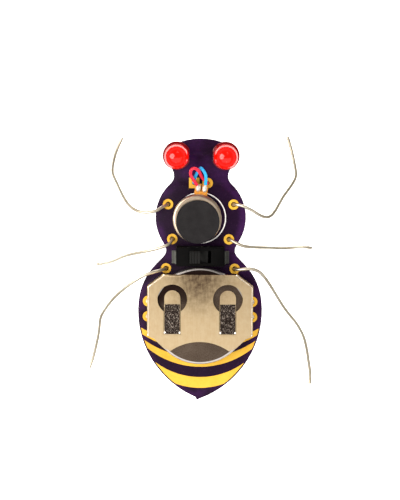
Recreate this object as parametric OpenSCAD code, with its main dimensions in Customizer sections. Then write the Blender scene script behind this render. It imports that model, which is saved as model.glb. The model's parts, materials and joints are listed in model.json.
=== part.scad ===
// A vibrating insect robot: a bee-shaped circuit board that stands on six bent wire legs.
// A coin motor shakes it, a coin cell and a slide switch feed it, and two LEDs are its eyes.
// +Z is up, +Y runs towards the head, and the feet stand on z = 0 below the origin.

/* [Board] */
// Thickness of the circuit board
board_t = 1.6; // [1:0.1:2]
// Height of the board's underside above the floor
ride_h = 9; // [8:0.5:11]
// Thickness of the plated copper on the board
copper_t = 0.06; // [0.04:0.01:0.08]
// Outer radius of a leg's copper ring
leg_ring_r = 1.07; // [0.9:0.01:1.2]

/* [Legs] */
// Radius of the leg wire
leg_r = 0.32; // [0.25:0.01:0.4]
// How far the soldered end of a leg stands out below the board
leg_stub = 0.8; // [0.4:0.1:1.2]

/* [Vibration motor] */
// Radius of the motor can
motor_r = 5; // [4.8:0.1:5.2]
// Height of the motor can
motor_h = 2.9; // [2.7:0.1:3.4]
// Turn of the motor about its own axis, in degrees
motor_turn = -7.5; // [-15:0.5:15]
// Radius of the foam disc on top of the motor
foam_r = 4.45; // [4:0.05:4.6]
// Radius of a motor lead, over its insulation
lead_r = 0.33; // [0.25:0.01:0.34]

/* [Eyes] */
// Radius of an LED lens
led_r = 2.5; // [2.4:0.05:2.6]
// Height of an LED, from the board to the top of its dome
led_h = 8.6; // [8:0.1:9]
// Distance of each LED from the middle line
led_x = 5; // [4.4:0.1:5.2]

/* [Slide switch] */
// Length of the switch body
switch_l = 9.9; // [9.6:0.1:10.2]
// Width of the switch body
switch_w = 3.9; // [3.6:0.1:4]
// Height of the switch body
switch_h = 3.6; // [3.4:0.1:4]
// How far the switch lever slides from off to on
lever_travel = 2.2; // [1.8:0.1:2.3]

/* [Coin cell] */
// Radius of the coin cell
cell_r = 10; // [9.9:0.05:10]
// Thickness of the coin cell
cell_h = 3.2; // [3:0.1:3.2]

/* [Cell retainer] */
// Thickness of the retainer's sheet metal
sheet_t = 0.25; // [0.2:0.05:0.3]
// Height of the retainer's top face above the board
retainer_h = 3.9; // [3.8:0.1:4.2]
// Half the width of the retainer
retainer_x = 10.85; // [10.8:0.05:11]
// Radius of the two round windows
window_r = 3.05; // [2.8:0.05:3.2]

/* [Hidden] */

fine = 72;          // sides drawn on a large circle
small = 32;         // sides drawn on a small circle
eps = 0.5;          // how far a cutting shape runs past what it cuts
gap = 0.01;         // clearance between soldered pieces

board_z = ride_h;
top_z = ride_h + board_t;
pad_z = top_z + copper_t;
plate_t = 0.05;     // copper plated inside a hole

// Colours
purple = "#3f2142";
gold = "#f0c944";
tin = "#c9c2b4";
steel = "#b9a78c";
nickel = "#c9ab82";
black_plastic = "#1a191b";
eye_red = "#e8200f";

// Places of the holes: [x, y]
leg_holes = [[6.75, 13.35], [5.85, 6.15], [7.1, 0.05]];
leg_hole_r = 0.5;
retainer_hole_ys = [-6.8, -10];
retainer_hole_x = retainer_x - 0.1;
retainer_hole_r = 0.52;
square_pad = [-1.4, 17.75];
round_pad = [1.35, 17.75];
lead_hole_r = 0.42;
led_y = 23.4;
led_pitch = 2.54;
led_hole_r = 0.45;
switch_y = 2.85;
switch_pitch = 2.5;
switch_hole_r = 0.45;
ear_y = 2.45;
cell_y = -9.45;

// ---------------------------------------------------------------- curves

// Points on a cubic curve, without its last one
function bend(a, b, c, d, n) = [
    for (i = [0 : n - 1])
        let (t = i / n, s = 1 - t)
        s * s * s * a + 3 * s * s * t * b + 3 * s * t * t * c + t * t * t * d
];

// Points on an arc of an ellipse, without its last one
function arc(centre, rx, ry, from, to, n) = [
    for (i = [0 : n - 1])
        let (angle = from + (to - from) * i / n)
        centre + [rx * cos(angle), ry * sin(angle)]
];

// One point of the smooth curve through four neighbouring points
function between(a, b, c, d, t) =
    b + t / 2 * (c - a + t * (2 * a - 5 * b + 4 * c - d + t * (3 * (b - c) + d - a)));

// A smooth route through the given points, with n steps from one to the next
function route(pts, n) = let (last = len(pts) - 1) concat(
    [for (i = [0 : last - 1], k = [0 : n - 1])
        between(pts[max(i - 1, 0)], pts[i], pts[i + 1], pts[min(i + 2, last)], k / n)],
    [pts[last]]
);

function unit(v) = v / norm(v);

// Directions along a route, one for each point
function headings(path) = let (last = len(path) - 1) [
    for (i = [0 : last]) unit(path[min(i + 1, last)] - path[max(i - 1, 0)])
];

// The sideways direction, carried along so that the tube never twists
function carry(dirs, first, i = 0, out = []) =
    i == len(dirs) ? out :
    let (was = i == 0 ? first : out[i - 1], side = unit(was - (was * dirs[i]) * dirs[i]))
    carry(dirs, first, i + 1, concat(out, [side]));

// A round wire or lead along a route, as one closed surface
module tube(path, r, sides) {
    dirs = headings(path);
    across = carry(dirs, [1, 0, 0]);
    rings = len(path);
    points = [
        for (i = [0 : rings - 1], k = [0 : sides - 1])
            let (angle = 360 * k / sides, up = cross(dirs[i], across[i]))
            path[i] + r * (cos(angle) * across[i] + sin(angle) * up)
    ];
    walls = [
        for (i = [0 : rings - 2], k = [0 : sides - 1], half = [0, 1])
            let (a = i * sides + k, b = i * sides + (k + 1) % sides)
            half == 0 ? [a, a + sides, b] : [b, a + sides, b + sides]
    ];
    start = [for (k = [0 : sides - 1]) k];
    end = [for (k = [sides - 1 : -1 : 0]) (rings - 1) * sides + k];
    polyhedron(points = points, faces = concat([start], walls, [end]), convexity = 8);
}

// ---------------------------------------------------------------- shared shapes

// A shape and its mirror image across the middle line
module both_sides() {
    children();
    mirror([1, 0, 0]) children();
}

module ring(outer, inner, z, h) {
    translate([0, 0, z])
        difference() {
            cylinder(r = outer, h = h, $fn = fine);
            translate([0, 0, -eps]) cylinder(r = inner, h = h + 2 * eps, $fn = fine);
        }
}

module disc(r, z, h) {
    translate([0, 0, z]) cylinder(r = r, h = h, $fn = fine);
}

// A copper ring on both faces of the board, joined by the plating inside its hole
module eyelet(hole_r, ring_r) {
    difference() {
        union() {
            translate([0, 0, board_z - copper_t])
                cylinder(r = hole_r + plate_t, h = board_t + 2 * copper_t, $fn = small);
            for (z = [board_z - copper_t, top_z])
                translate([0, 0, z]) cylinder(r = ring_r, h = copper_t, $fn = small);
        }
        translate([0, 0, board_z - eps]) cylinder(r = hole_r, h = board_t + 2 * eps, $fn = small);
    }
}

// A cone of solder below the board, round a pin that comes out of it
module solder_cone(foot_r, tip_r, h, pin_r) {
    translate([0, 0, board_z - copper_t - h])
        difference() {
            cylinder(r1 = tip_r, r2 = foot_r, h = h, $fn = small);
            translate([0, 0, -eps]) cylinder(r = pin_r + gap, h = h + 2 * eps, $fn = small);
        }
}

// ---------------------------------------------------------------- circuit board

tail_tip = [-0.53, -27.55];
tail_notch = [-0.85, -26.93];
tail_root = [0.15, -27.2];
belly = [12.84, -8.8];
hip = [8.37, 1.65];
waist = [7.09, 3.76];
chest = [0, 10.66];
chest_r = 9.32;
neck = [5.58, 19.16];
head = [0, 23];
head_rx = 7.45;
head_ry = 3.85;
low_chest = chest + chest_r * [cos(-27.5), sin(-27.5)];
high_chest = chest + chest_r * [cos(47), sin(47)];
jaw_angle = -31.3;
jaw = head + [head_rx * cos(jaw_angle), head_ry * sin(jaw_angle)];

// The right half of the insect's outline, from the root of the tail's tip to the top of the head
half_outline = concat(
    bend(tail_root, [7.3, -24.5], [12.84, -17.35], belly, 20),
    bend(belly, [12.84, -4.46], [11.63, -1.5], hip, 12),
    bend(hip, [7.72, 2.28], [7.09, 2.95], waist, 5),
    bend(waist, [7.09, 4.6], low_chest - 1 * [0.46, 0.89], low_chest, 5),
    arc(chest, chest_r, chest_r, -27.5, 47, 16),
    bend(high_chest, high_chest + 0.6 * [-0.73, 0.68], [5.58, 18.5], neck, 5),
    bend(neck, [5.58, 19.8], jaw - 0.7 * [0.76, 0.65], jaw, 5),
    arc(head, head_rx, head_ry, jaw_angle, 90, 16)
);
head_top = [head[0], head[1] + head_ry];
left_half = [for (i = [len(half_outline) - 1 : -1 : 1]) [-half_outline[i][0], half_outline[i][1]]];

// Both halves meet in a short tip that leans to the left
module board_outline() {
    polygon(concat(half_outline, [head_top], left_half, [tail_notch, tail_tip]));
}

module drill(place, hole_r) {
    translate([place[0], place[1], board_z - eps])
        cylinder(r = hole_r + plate_t, h = board_t + 2 * eps, $fn = small);
}

module circuit_board() {
    color(purple)
        difference() {
            translate([0, 0, board_z]) linear_extrude(board_t) board_outline();
            both_sides() {
                for (place = leg_holes) drill(place, leg_hole_r);
                for (y = retainer_hole_ys) drill([retainer_hole_x, y], retainer_hole_r);
                for (k = [-0.5, 0.5]) drill([led_x + k * led_pitch, led_y], led_hole_r);
            }
            for (place = [square_pad, round_pad]) drill(place, lead_hole_r);
            for (k = [-1 : 1]) drill([k * switch_pitch, switch_y], switch_hole_r);
        }
}

// Bare gold bands across the tail: each is the outline cut by two arcs
module band(upper_y, upper_r, lower_y, lower_r, edge) {
    intersection() {
        offset(delta = -edge) board_outline();
        difference() {
            translate([0, lower_y + lower_r]) circle(r = lower_r, $fn = 120);
            translate([0, upper_y + upper_r]) circle(r = upper_r, $fn = 120);
        }
    }
}

module tail_stripes() {
    color(gold)
        translate([0, 0, top_z])
            linear_extrude(copper_t * 0.8) {
                band(-22.67, 15.3, -24.95, 14.6, 0.3);
                band(-18.6, 20, -20.5, 17.2, 0.3);
                band(-15.7, 24, -17.2, 22.5, 0.3);
            }
}

module leg_eyelets() {
    color(gold)
        both_sides()
            for (place = leg_holes) translate(place) eyelet(leg_hole_r, leg_ring_r);
}

module retainer_eyelets() {
    color(gold)
        both_sides()
            for (y = retainer_hole_ys)
                translate([retainer_hole_x, y]) eyelet(retainer_hole_r, 1.12);
}

// The first pad is square and the second is round
module motor_lead_pads() {
    color(gold) {
        difference() {
            union() {
                translate(square_pad) eyelet(lead_hole_r, 1.07);
                translate([square_pad[0], square_pad[1], top_z + copper_t / 2])
                    cube([2.15, 2.15, copper_t], center = true);
            }
            translate([square_pad[0], square_pad[1], board_z - eps])
                cylinder(r = lead_hole_r, h = board_t + 2 * eps, $fn = small);
        }
        translate(round_pad) eyelet(lead_hole_r, 1.1);
    }
}

module led_eyelets() {
    color(gold)
        both_sides()
            for (k = [-0.5, 0.5])
                translate([led_x + k * led_pitch, led_y]) eyelet(led_hole_r, 0.8);
}

module switch_eyelets() {
    color(gold)
        for (k = [-1 : 1])
            translate([k * switch_pitch, switch_y]) eyelet(switch_hole_r, 0.85);
}

module cell_contact_pad() {
    color(gold) translate([0, cell_y, 0]) disc(4.5, top_z, copper_t);
}

// ---------------------------------------------------------------- vibration motor

motor_centre = [-0.7, 10.55];
adhesive_t = 0.3;
base_t = 0.3;
can_wall = 0.25;
flex_t = 0.12;
base_z = top_z + adhesive_t;
flex_z = base_z + base_t;
motor_top = base_z + motor_h;
shaft_r = 0.4;
rotor_z = flex_z + flex_t + 0.75;
rotor_r = 4.35;
frame_t = 0.25;
rotor_top = motor_top - can_wall - 0.15;
tail_w = 2.65;
tail_l = 2.1;
blob_places = [[-0.68, motor_r + 1.2], [0.68, motor_r + 1.2]];

module at_motor() {
    translate([motor_centre[0], motor_centre[1], 0]) rotate(motor_turn) children();
}

module motor_adhesive() {
    color("#e6e1d6") at_motor() disc(4.6, top_z, adhesive_t);
}

module motor_base_plate() {
    color(steel) at_motor() disc(motor_r - can_wall - 0.02, base_z, base_t);
}

// A flexible printed circuit: a disc inside the can and a slit tail outside it
module motor_flex_tail() {
    color("#c08a2e")
        at_motor()
            difference() {
                union() {
                    disc(4.4, flex_z, flex_t);
                    translate([-tail_w / 2, 0, flex_z]) cube([tail_w, motor_r + tail_l, flex_t]);
                }
                disc(shaft_r + 0.02, flex_z - eps, 2);
                translate([-0.1, motor_r + 0.5, flex_z - eps]) cube([0.2, tail_l, 2]);
            }
}

module motor_magnet() {
    color("#4a4a4e") at_motor() ring(3.3, 1.8, flex_z + flex_t, 0.6);
}

// Two leaf springs that rise from the flexible circuit to the commutator
module motor_brushes() {
    color("#d8a860")
        at_motor()
            for (side = [0, 180])
                rotate(side)
                    translate([0.85, 0, flex_z + flex_t])
                        rotate([90, 0, 0])
                            linear_extrude(0.3, center = true)
                                polygon([[0.7, 0], [0.2, 0], [-0.25, 0.62], [-0.15, 0.68],
                                         [0.25, 0.1], [0.7, 0.1]]);
}

module motor_shaft() {
    color("#d0d0d0") at_motor() disc(shaft_r, flex_z, motor_top - can_wall - flex_z);
}

module rotor_bush() {
    color("#b07a3a") at_motor() ring(0.8, shaft_r + 0.03, rotor_z + frame_t, rotor_top - rotor_z - frame_t);
}

// A plastic half-disc that carries the coils and the weight
module rotor_frame() {
    color("#ded7c4")
        at_motor()
            difference() {
                disc(rotor_r, rotor_z, frame_t);
                disc(shaft_r + 0.03, rotor_z - eps, 2);
                translate([-rotor_r - 1, -rotor_r - 1, rotor_z - eps])
                    cube([2 * rotor_r + 2, rotor_r - 0.5, 2]);
            }
}

module rotor_coils() {
    color("#b5622d")
        at_motor()
            for (angle = [20, 160])
                rotate(angle) translate([2.6, 0, 0]) ring(1.45, 0.6, rotor_z + frame_t, 0.7);
}

// A dense half-ring that sits off the axis and makes the shake
module rotor_weight() {
    color("#8a8d90")
        at_motor()
            intersection() {
                ring(rotor_r, 1.6, rotor_z + frame_t, rotor_top - rotor_z - frame_t);
                linear_extrude(60) polygon([[0, 0], [-5, 8], [5, 8]]);
            }
}

// A deep-drawn cup over the works, notched where the flexible tail comes out
module motor_can() {
    color(steel)
        at_motor()
            difference() {
                disc(motor_r, base_z, motor_h);
                disc(motor_r - can_wall, base_z - eps, motor_h + eps - can_wall);
                translate([-tail_w / 2 - 0.1, 0, base_z - eps])
                    cube([tail_w + 0.2, motor_r + 1, base_t + flex_t + 0.1 + eps]);
            }
}

module motor_foam_disc() {
    color("#302e2f")
        translate([motor_centre[0] + 0.1, motor_centre[1] - 0.55, 0]) disc(foam_r, motor_top, 0.4);
}

// Two domes of solder on the tail, each round the end of a lead
module tail_solder() {
    blob_r = 0.75;
    blob_sink = 0.25;
    color("#e9e4da")
        at_motor()
            for (place = blob_places)
                intersection() {
                    translate([place[0], place[1], flex_z + flex_t - blob_sink])
                        sphere(r = blob_r, $fn = small);
                    translate([place[0] - 0.55, place[1] - 0.75, flex_z + flex_t])
                        cube([1.1, 1.5, blob_r]);
                }
}

// Routes of the two motor leads: [x, y, height above the board]
red_route = [
    [-0.6, 16.7, 1.1], [-0.8, 17.3, 1.3], [-1.4, 18.3, 2], [-2.1, 19.5, 2.7], [-2, 20.6, 3.3],
    [-1.3, 20.95, 3.5], [-0.5, 20.4, 3.2], [0.3, 18.9, 1.4], [0.95, 18.1, 0.6],
    [1.35, 17.75, -0.2], [1.35, 17.75, -2.2]
];
blue_route = [
    [0.6, 16.6, 1.1], [0.9, 17.4, 1.4], [1, 18.8, 2.2], [0.8, 19.9, 2.7], [0, 20.95, 2.7],
    [-0.4, 20.4, 2.1], [-0.85, 19.85, 1.7], [-1.25, 18.9, 1.1], [-1.45, 18, 0.6],
    [-1.4, 17.75, -0.3], [-1.4, 17.75, -2.2]
];

function above_board(pts) = [for (p = pts) [p[0], p[1], p[2] + top_z]];

module red_lead() {
    color("#c8203c") tube(route(above_board(red_route), 3), lead_r, 8);
}

module blue_lead() {
    color("#22a6e0") tube(route(above_board(blue_route), 3), lead_r, 8);
}

module lead_solder() {
    color(tin)
        for (place = [square_pad, round_pad]) translate(place) solder_cone(0.85, 0.42, 0.5, lead_r);
}

// ---------------------------------------------------------------- LED eyes

flange_r = 2.9;
flange_h = 1;
led_pin = 0.5;
frame_top = 4.2;
anvil_h = 1.2;
pin_end = 1.1;      // length of an LED pin below the board

// The right eye's place, in which the flat of the flange faces the middle line
module at_led() {
    translate([led_x, led_y, pad_z]) children();
}

// The metal of one pin with its flat head inside the lens
module led_post(x, head_w, head_from, head_to) {
    translate([x - led_pin / 2, -led_pin / 2, -board_t - pin_end])
        cube([led_pin, led_pin, board_t + pin_end + frame_top - anvil_h]);
    translate([head_from, -led_pin / 2, frame_top - anvil_h])
        cube([head_to - head_from, led_pin, anvil_h]);
}

module anode_post() {
    led_post(led_pitch / 2, 0, 0.45, led_pitch / 2 + led_pin / 2);
}

module cathode_post() {
    led_post(-led_pitch / 2, 0, -led_pitch / 2 - led_pin / 2, 0.2);
}

module led_chip() {
    translate([-0.3, 0, frame_top + 0.1]) cube([0.35, 0.35, 0.2], center = true);
}

module bond_wire() {
    translate([-0.2, -0.04, frame_top + 0.2]) cube([0.95, 0.08, 0.08]);
}

module led_body() {
    difference() {
        rotate_extrude($fn = fine)
            difference() {
                union() {
                    square([flange_r, flange_h]);
                    square([led_r, led_h - led_r]);
                    translate([0, led_h - led_r]) circle(r = led_r, $fn = fine);
                }
                translate([-2 * led_r, -eps]) square([2 * led_r, led_h + 1]);
            }
        translate([-flange_r - 1, -flange_r, -eps])
            cube([flange_r + 1 - led_r - 0.1, 2 * flange_r, flange_h + 2 * eps]);
        anode_post();
        cathode_post();
        led_chip();
        bond_wire();
    }
}

module led_lens_left() {
    color(eye_red) mirror([1, 0, 0]) at_led() led_body();
}

module led_lens_right() {
    color(eye_red) at_led() led_body();
}

module led_anodes() {
    color(tin) both_sides() at_led() anode_post();
}

module led_cathodes() {
    color(tin) both_sides() at_led() cathode_post();
}

module led_chips() {
    color("#ff8060") both_sides() at_led() led_chip();
}

module led_bond_wires() {
    color(gold)
        both_sides()
            at_led()
                difference() {
                    bond_wire();
                    led_chip();
                }
}

module led_solder() {
    color(tin)
        both_sides()
            for (k = [-0.5, 0.5])
                translate([led_x + k * led_pitch, led_y])
                    solder_cone(0.7, 0.4, 0.6, led_pin * sqrt(0.5));
}

// ---------------------------------------------------------------- slide switch

base_block_h = 0.9;
housing_wall = 0.45;
roof_t = 0.5;
knob_l = 2.15;
knob_w = 2.4;
knob_h = 1.8;
slider_l = 5.4;
slider_w = 2.8;
slot_play = 0.05;
slot_l = knob_l + lever_travel + 2 * slot_play;
slot_x = -0.05;
knob_x = slot_x - slot_l / 2 + slot_play + knob_l / 2;
housing_z = pad_z + base_block_h;
housing_h = switch_h - copper_t - base_block_h;
rib_h = 0.35;
pin_l = 0.6;
pin_w = 0.3;

module at_switch(z) {
    translate([0, switch_y, z]) children();
}

module switch_base() {
    color(black_plastic)
        at_switch(pad_z)
            difference() {
                translate([-switch_l / 2, -switch_w / 2, 0]) cube([switch_l, switch_w, base_block_h]);
                for (k = [-1 : 1])
                    translate([k * switch_pitch - pin_l / 2, -pin_w / 2, -eps])
                        cube([pin_l, pin_w, base_block_h + 2 * eps]);
            }
}

module switch_terminals() {
    color(tin)
        at_switch(board_z - 0.9)
            for (k = [-1 : 1])
                translate([k * switch_pitch - pin_l / 2, -pin_w / 2, 0])
                    cube([pin_l, pin_w, housing_z + rib_h - board_z + 0.9]);
}

// The cup over the slider, with the slot that the lever stands in
module switch_housing() {
    color(black_plastic)
        at_switch(housing_z)
            difference() {
                translate([-switch_l / 2, -switch_w / 2, 0]) cube([switch_l, switch_w, housing_h]);
                translate([housing_wall - switch_l / 2, housing_wall - switch_w / 2, -eps])
                    cube([switch_l - 2 * housing_wall, switch_w - 2 * housing_wall,
                          housing_h - roof_t + eps]);
                translate([slot_x - slot_l / 2, -knob_w / 2 - slot_play, 0])
                    cube([slot_l, knob_w + 2 * slot_play, housing_h + eps]);
            }
}

// The ribbed knob and the block below it that slides inside the housing
module switch_lever() {
    roof_z = housing_z + housing_h - roof_t;
    slider_z = housing_z + rib_h + 0.25;
    color("#242425")
        at_switch(0) {
            difference() {
                translate([knob_x - knob_l / 2, -knob_w / 2, roof_z - 0.05])
                    cube([knob_l, knob_w, roof_t + 0.05 + knob_h]);
                for (k = [-1 : 1])
                    translate([knob_x + k * 0.6 - 0.12, -knob_w / 2 - eps, roof_z + roof_t + knob_h - 0.2])
                        cube([0.24, knob_w + 2 * eps, 1]);
            }
            translate([knob_x - slider_l / 2, -slider_w / 2, slider_z])
                cube([slider_l, slider_w, roof_z - 0.05 - slider_z]);
        }
}

// The moving bridge under the slider, which joins two neighbouring terminals
module switch_contact() {
    bridge_l = switch_pitch + 1;
    color("#d8a860")
        at_switch(housing_z + rib_h + 0.05)
            translate([knob_x - bridge_l / 2, -0.7, 0]) cube([bridge_l, 1.4, 0.2]);
}

// Metal tabs at both ends, folded down onto the board
module switch_ears() {
    ear_t = 0.3;
    ear_w = 2.7;
    ear_reach = 0.95;
    color(tin)
        both_sides()
            translate([switch_l / 2, ear_y - ear_w / 2, top_z]) {
                cube([ear_reach, ear_w, ear_t]);
                cube([ear_t, ear_w, 1.6]);
            }
}

module switch_solder() {
    color(tin)
        for (k = [-1 : 1])
            translate([k * switch_pitch, switch_y])
                solder_cone(0.75, 0.42, 0.6, norm([pin_l, pin_w]) / 2);
}

// ---------------------------------------------------------------- coin cell

cell_z = pad_z;
can_t = 0.25;
cap_t = 0.2;
cap_r = 8.7;
lip_z = cell_z + 0.35;
lip_r = 9;
inner_top = cell_z + cell_h - can_t;
anode_h = 0.65;
separator_h = 0.1;
cap_wall_h = 1.9;

module at_cell() {
    translate([0, cell_y, 0]) children();
}

// The positive can: a flat top and a side wall that turns in under the gasket
module cell_can() {
    color("#8f8b84")
        at_cell()
            rotate_extrude($fn = 120)
                polygon([[0, inner_top], [cell_r - can_t, inner_top], [cell_r - can_t, lip_z + can_t],
                         [lip_r, lip_z + can_t], [lip_r, lip_z], [cell_r - 0.15, lip_z],
                         [cell_r, lip_z + 0.15], [cell_r, cell_z + cell_h - 0.2],
                         [cell_r - 0.2, cell_z + cell_h], [0, cell_z + cell_h]]);
}

module cell_gasket() {
    color("#d9d4c4")
        at_cell() ring(cell_r - can_t, cap_r + gap, lip_z + can_t, inner_top - lip_z - can_t);
}

// The negative cap, a shallow pan that rests on the board's contact pad
module cell_cap() {
    color("#a8a49c")
        at_cell() {
            disc(cap_r, cell_z, cap_t);
            ring(cap_r, cap_r - cap_t, cell_z + cap_t, cap_wall_h);
        }
}

module cell_anode() {
    color("#c8c8cc") at_cell() disc(8, cell_z + cap_t, anode_h);
}

module cell_separator() {
    color("#f0efe8") at_cell() disc(8.4, cell_z + cap_t + anode_h, separator_h);
}

module cell_cathode() {
    from = cell_z + cap_t + anode_h + separator_h;
    color("#2a2a2c") at_cell() disc(8.2, from, inner_top - from);
}

// ---------------------------------------------------------------- cell retainer

plate_z = top_z + retainer_h - sheet_t;
front_y = -0.85;
front_x = 7.6;
shoulder_y = -3.33;
rear_y = -13.3;
notch_r = 10.4;
notch_top = -14.7;
window = [5.7, -5.9];
finger_w = 3.3;
finger_root_y = -13.15;
finger_bend_y = -6.9;
finger_tip_y = -4.1;
press_z = cell_z + cell_h + 0.02;
wall_foot_z = pad_z + 0.04;
pin_drop = 0.7;

// The right half of the flat top: square shoulders in front and stepped corners behind
retainer_half = [
    [0, front_y], [front_x, front_y], [retainer_x, shoulder_y], [retainer_x, rear_y],
    [retainer_x - 0.5, rear_y - 0.45], [9.4, rear_y - 0.8], [8.4, -15.15], [7.4, -16.05],
    [6, -16.6], [0, -16.6]
];

module retainer_plate() {
    translate([0, 0, plate_z])
        linear_extrude(sheet_t)
            difference() {
                union() {
                    polygon(retainer_half);
                    mirror([1, 0]) polygon(retainer_half);
                }
                translate([0, notch_top - notch_r]) circle(r = notch_r, $fn = 120);
                for (side = [-1, 1]) {
                    translate([side * window[0], window[1]]) circle(r = window_r, $fn = fine);
                    translate([side * window[0] - finger_w / 2 - 0.1, finger_root_y])
                        square([finger_w + 0.2, window[1] - finger_root_y]);
                }
            }
}

// A spring finger: it slopes down from the plate, then lies flat on the cell
module spring_finger() {
    low = press_z + sheet_t;
    high = plate_z + sheet_t;
    intersection() {
        translate([-finger_w / 2, 0, 0])
            rotate([90, 0, 90])
                linear_extrude(finger_w)
                    polygon([[finger_root_y - 0.2, high], [finger_root_y, high], [finger_bend_y, low],
                             [finger_tip_y, low], [finger_tip_y, press_z], [finger_bend_y, press_z],
                             [finger_root_y, plate_z], [finger_root_y - 0.2, plate_z]]);
        union() {
            translate([-finger_w / 2, finger_root_y - 1, top_z])
                cube([finger_w, finger_tip_y - finger_w / 2 - finger_root_y + 1, 9]);
            translate([0, finger_tip_y - finger_w / 2, top_z])
                cylinder(r = finger_w / 2, h = 9, $fn = fine);
        }
    }
}

// The right side's walls: a straight one with two pins, and one across the shoulder
module retainer_walls() {
    inward = sheet_t * unit([shoulder_y - front_y, front_x - retainer_x]);
    wall_h = plate_z - wall_foot_z;
    translate([retainer_x - sheet_t, rear_y, wall_foot_z])
        cube([sheet_t, shoulder_y - rear_y, wall_h]);
    translate([0, 0, wall_foot_z])
        linear_extrude(wall_h)
            polygon([[retainer_x, shoulder_y], [front_x, front_y], [front_x, front_y] + inward,
                     [retainer_x, shoulder_y] + inward]);
    for (y = retainer_hole_ys)
        translate([retainer_x - sheet_t, y - 0.4, board_z - pin_drop])
            cube([sheet_t, 0.8, wall_foot_z - board_z + pin_drop]);
}

module cell_retainer() {
    color(nickel) {
        retainer_plate();
        for (side = [-1, 1]) translate([side * window[0], 0, 0]) spring_finger();
        both_sides() retainer_walls();
    }
}

module retainer_solder() {
    color(tin)
        both_sides()
            for (y = retainer_hole_ys)
                difference() {
                    translate([retainer_hole_x, y, board_z - copper_t - 0.6])
                        cylinder(r1 = 0.6, r2 = 0.9, h = 0.6, $fn = small);
                    translate([retainer_x - sheet_t - gap, y - 0.4 - gap, board_z - 2])
                        cube([sheet_t + 2 * gap, 0.8 + 2 * gap, 3]);
                }
}

// ---------------------------------------------------------------- legs

// Each route lists [x, y, height above the board] from the hole outwards. The last stretch
// lies along the floor, and the foot under it is worn flat.
foot_lift = leg_r - 0.03 - top_z;

front_left = [
    [-7.3, 13.1, 1], [-8, 12.8, 1.5], [-9.1, 12.1, 1.9], [-11, 11.7, 1.7], [-13, 11.9, 0.7],
    [-14.8, 12.9, -1.2], [-16.2, 14.7, -3.4], [-17.6, 17.3, -5.9], [-18.5, 19, -7.4],
    [-18.6, 20.5, -8.4], [-18.1, 23.2, -9.8], [-17.2, 25.5, foot_lift], [-16.7, 26.6, foot_lift]
];
front_right = [
    [7.3, 13.4, 1], [8.6, 13.2, 1.6], [10.6, 12.3, 1.7], [12.5, 11.1, 1.3], [14.1, 10.9, 0.6],
    [15.4, 12.1, -0.6], [17, 14.7, -3.2], [18.9, 17, -5.6], [19.9, 18.7, -7.2],
    [19.9, 20.1, -8.2], [19.3, 23.2, -9.7], [18.6, 25.8, foot_lift], [18.2, 27, foot_lift]
];
middle_left = [
    [-5.9, 6, 0.9], [-6.3, 5.4, 1.5], [-7.4, 4.8, 1.8], [-9.8, 4, 1.3], [-13, 3.1, -0.8],
    [-15.5, 2.3, -3.3], [-18, 0.9, -6.4], [-19.7, 0.1, -8.7], [-20.9, -0.2, foot_lift],
    [-22, -0.4, foot_lift]
];
middle_right = [
    [6.2, 6.1, 1], [7.1, 5.7, 1.6], [8.7, 5, 1.8], [10.7, 4.7, 1.2], [13.9, 4.4, -0.9],
    [17.2, 4, -3.9], [19.3, 3.9, -6.2], [21.3, 3.8, -8.7], [22.6, 3.6, foot_lift],
    [23.7, 3.4, foot_lift]
];
rear_left = [
    [-7.6, -0.1, 1], [-9, -0.4, 1.7], [-11.3, -1.1, 1.9], [-13.7, -2.6, 1.2],
    [-16.1, -4.6, -0.5], [-18.4, -7, -2.6], [-20.1, -9.5, -4.6], [-21, -11.3, -5.8],
    [-21.3, -13.9, -7.2], [-21.8, -16.5, -8.6], [-22.6, -19.8, -9.9], [-23.2, -21.6, foot_lift],
    [-23.6, -22.7, foot_lift]
];
rear_right = [
    [7.6, 0, 1], [8.7, 0.1, 1.6], [10.1, 0.3, 1.8], [11.5, 0, 1.8], [12.7, -0.8, 1.5],
    [14.1, -2.7, 0.6], [16, -5.8, -1.1], [17.9, -8.9, -2.9], [20, -11.5, -4.7],
    [21.6, -14.2, -6.2], [22.5, -16.8, -7.5], [23.1, -19.9, -8.9], [23.6, -22.9, -10],
    [23.7, -24.6, foot_lift], [23.6, -25.8, foot_lift]
];

module leg(hole, side, outer_route) {
    x = side * hole[0];
    in_hole = [[x, hole[1], -board_t - leg_stub], [x, hole[1], -0.8], [x, hole[1], 0.2]];
    color(tin)
        difference() {
            tube(route(above_board(concat(in_hole, outer_route)), 3), leg_r, 10);
            translate([-60, -60, -10]) cube([120, 120, 10]);
        }
}

module leg_front_left() { leg(leg_holes[0], -1, front_left); }
module leg_front_right() { leg(leg_holes[0], 1, front_right); }
module leg_middle_left() { leg(leg_holes[1], -1, middle_left); }
module leg_middle_right() { leg(leg_holes[1], 1, middle_right); }
module leg_rear_left() { leg(leg_holes[2], -1, rear_left); }
module leg_rear_right() { leg(leg_holes[2], 1, rear_right); }

module leg_solder() {
    color(tin)
        both_sides()
            for (place = leg_holes) translate(place) solder_cone(0.9, 0.45, 0.7, leg_r);
}

// ---------------------------------------------------------------- assembly

circuit_board();
tail_stripes();
leg_eyelets();
retainer_eyelets();
motor_lead_pads();
led_eyelets();
switch_eyelets();
cell_contact_pad();
motor_adhesive();
motor_base_plate();
motor_flex_tail();
motor_magnet();
motor_brushes();
motor_shaft();
rotor_bush();
rotor_frame();
rotor_coils();
rotor_weight();
motor_can();
motor_foam_disc();
tail_solder();
red_lead();
blue_lead();
lead_solder();
led_lens_left();
led_lens_right();
led_anodes();
led_cathodes();
led_chips();
led_bond_wires();
led_solder();
switch_base();
switch_terminals();
switch_contact();
switch_lever();
switch_housing();
switch_ears();
switch_solder();
cell_can();
cell_gasket();
cell_cap();
cell_cathode();
cell_separator();
cell_anode();
cell_retainer();
retainer_solder();
leg_front_left();
leg_front_right();
leg_middle_left();
leg_middle_right();
leg_rear_left();
leg_rear_right();
leg_solder();
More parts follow.
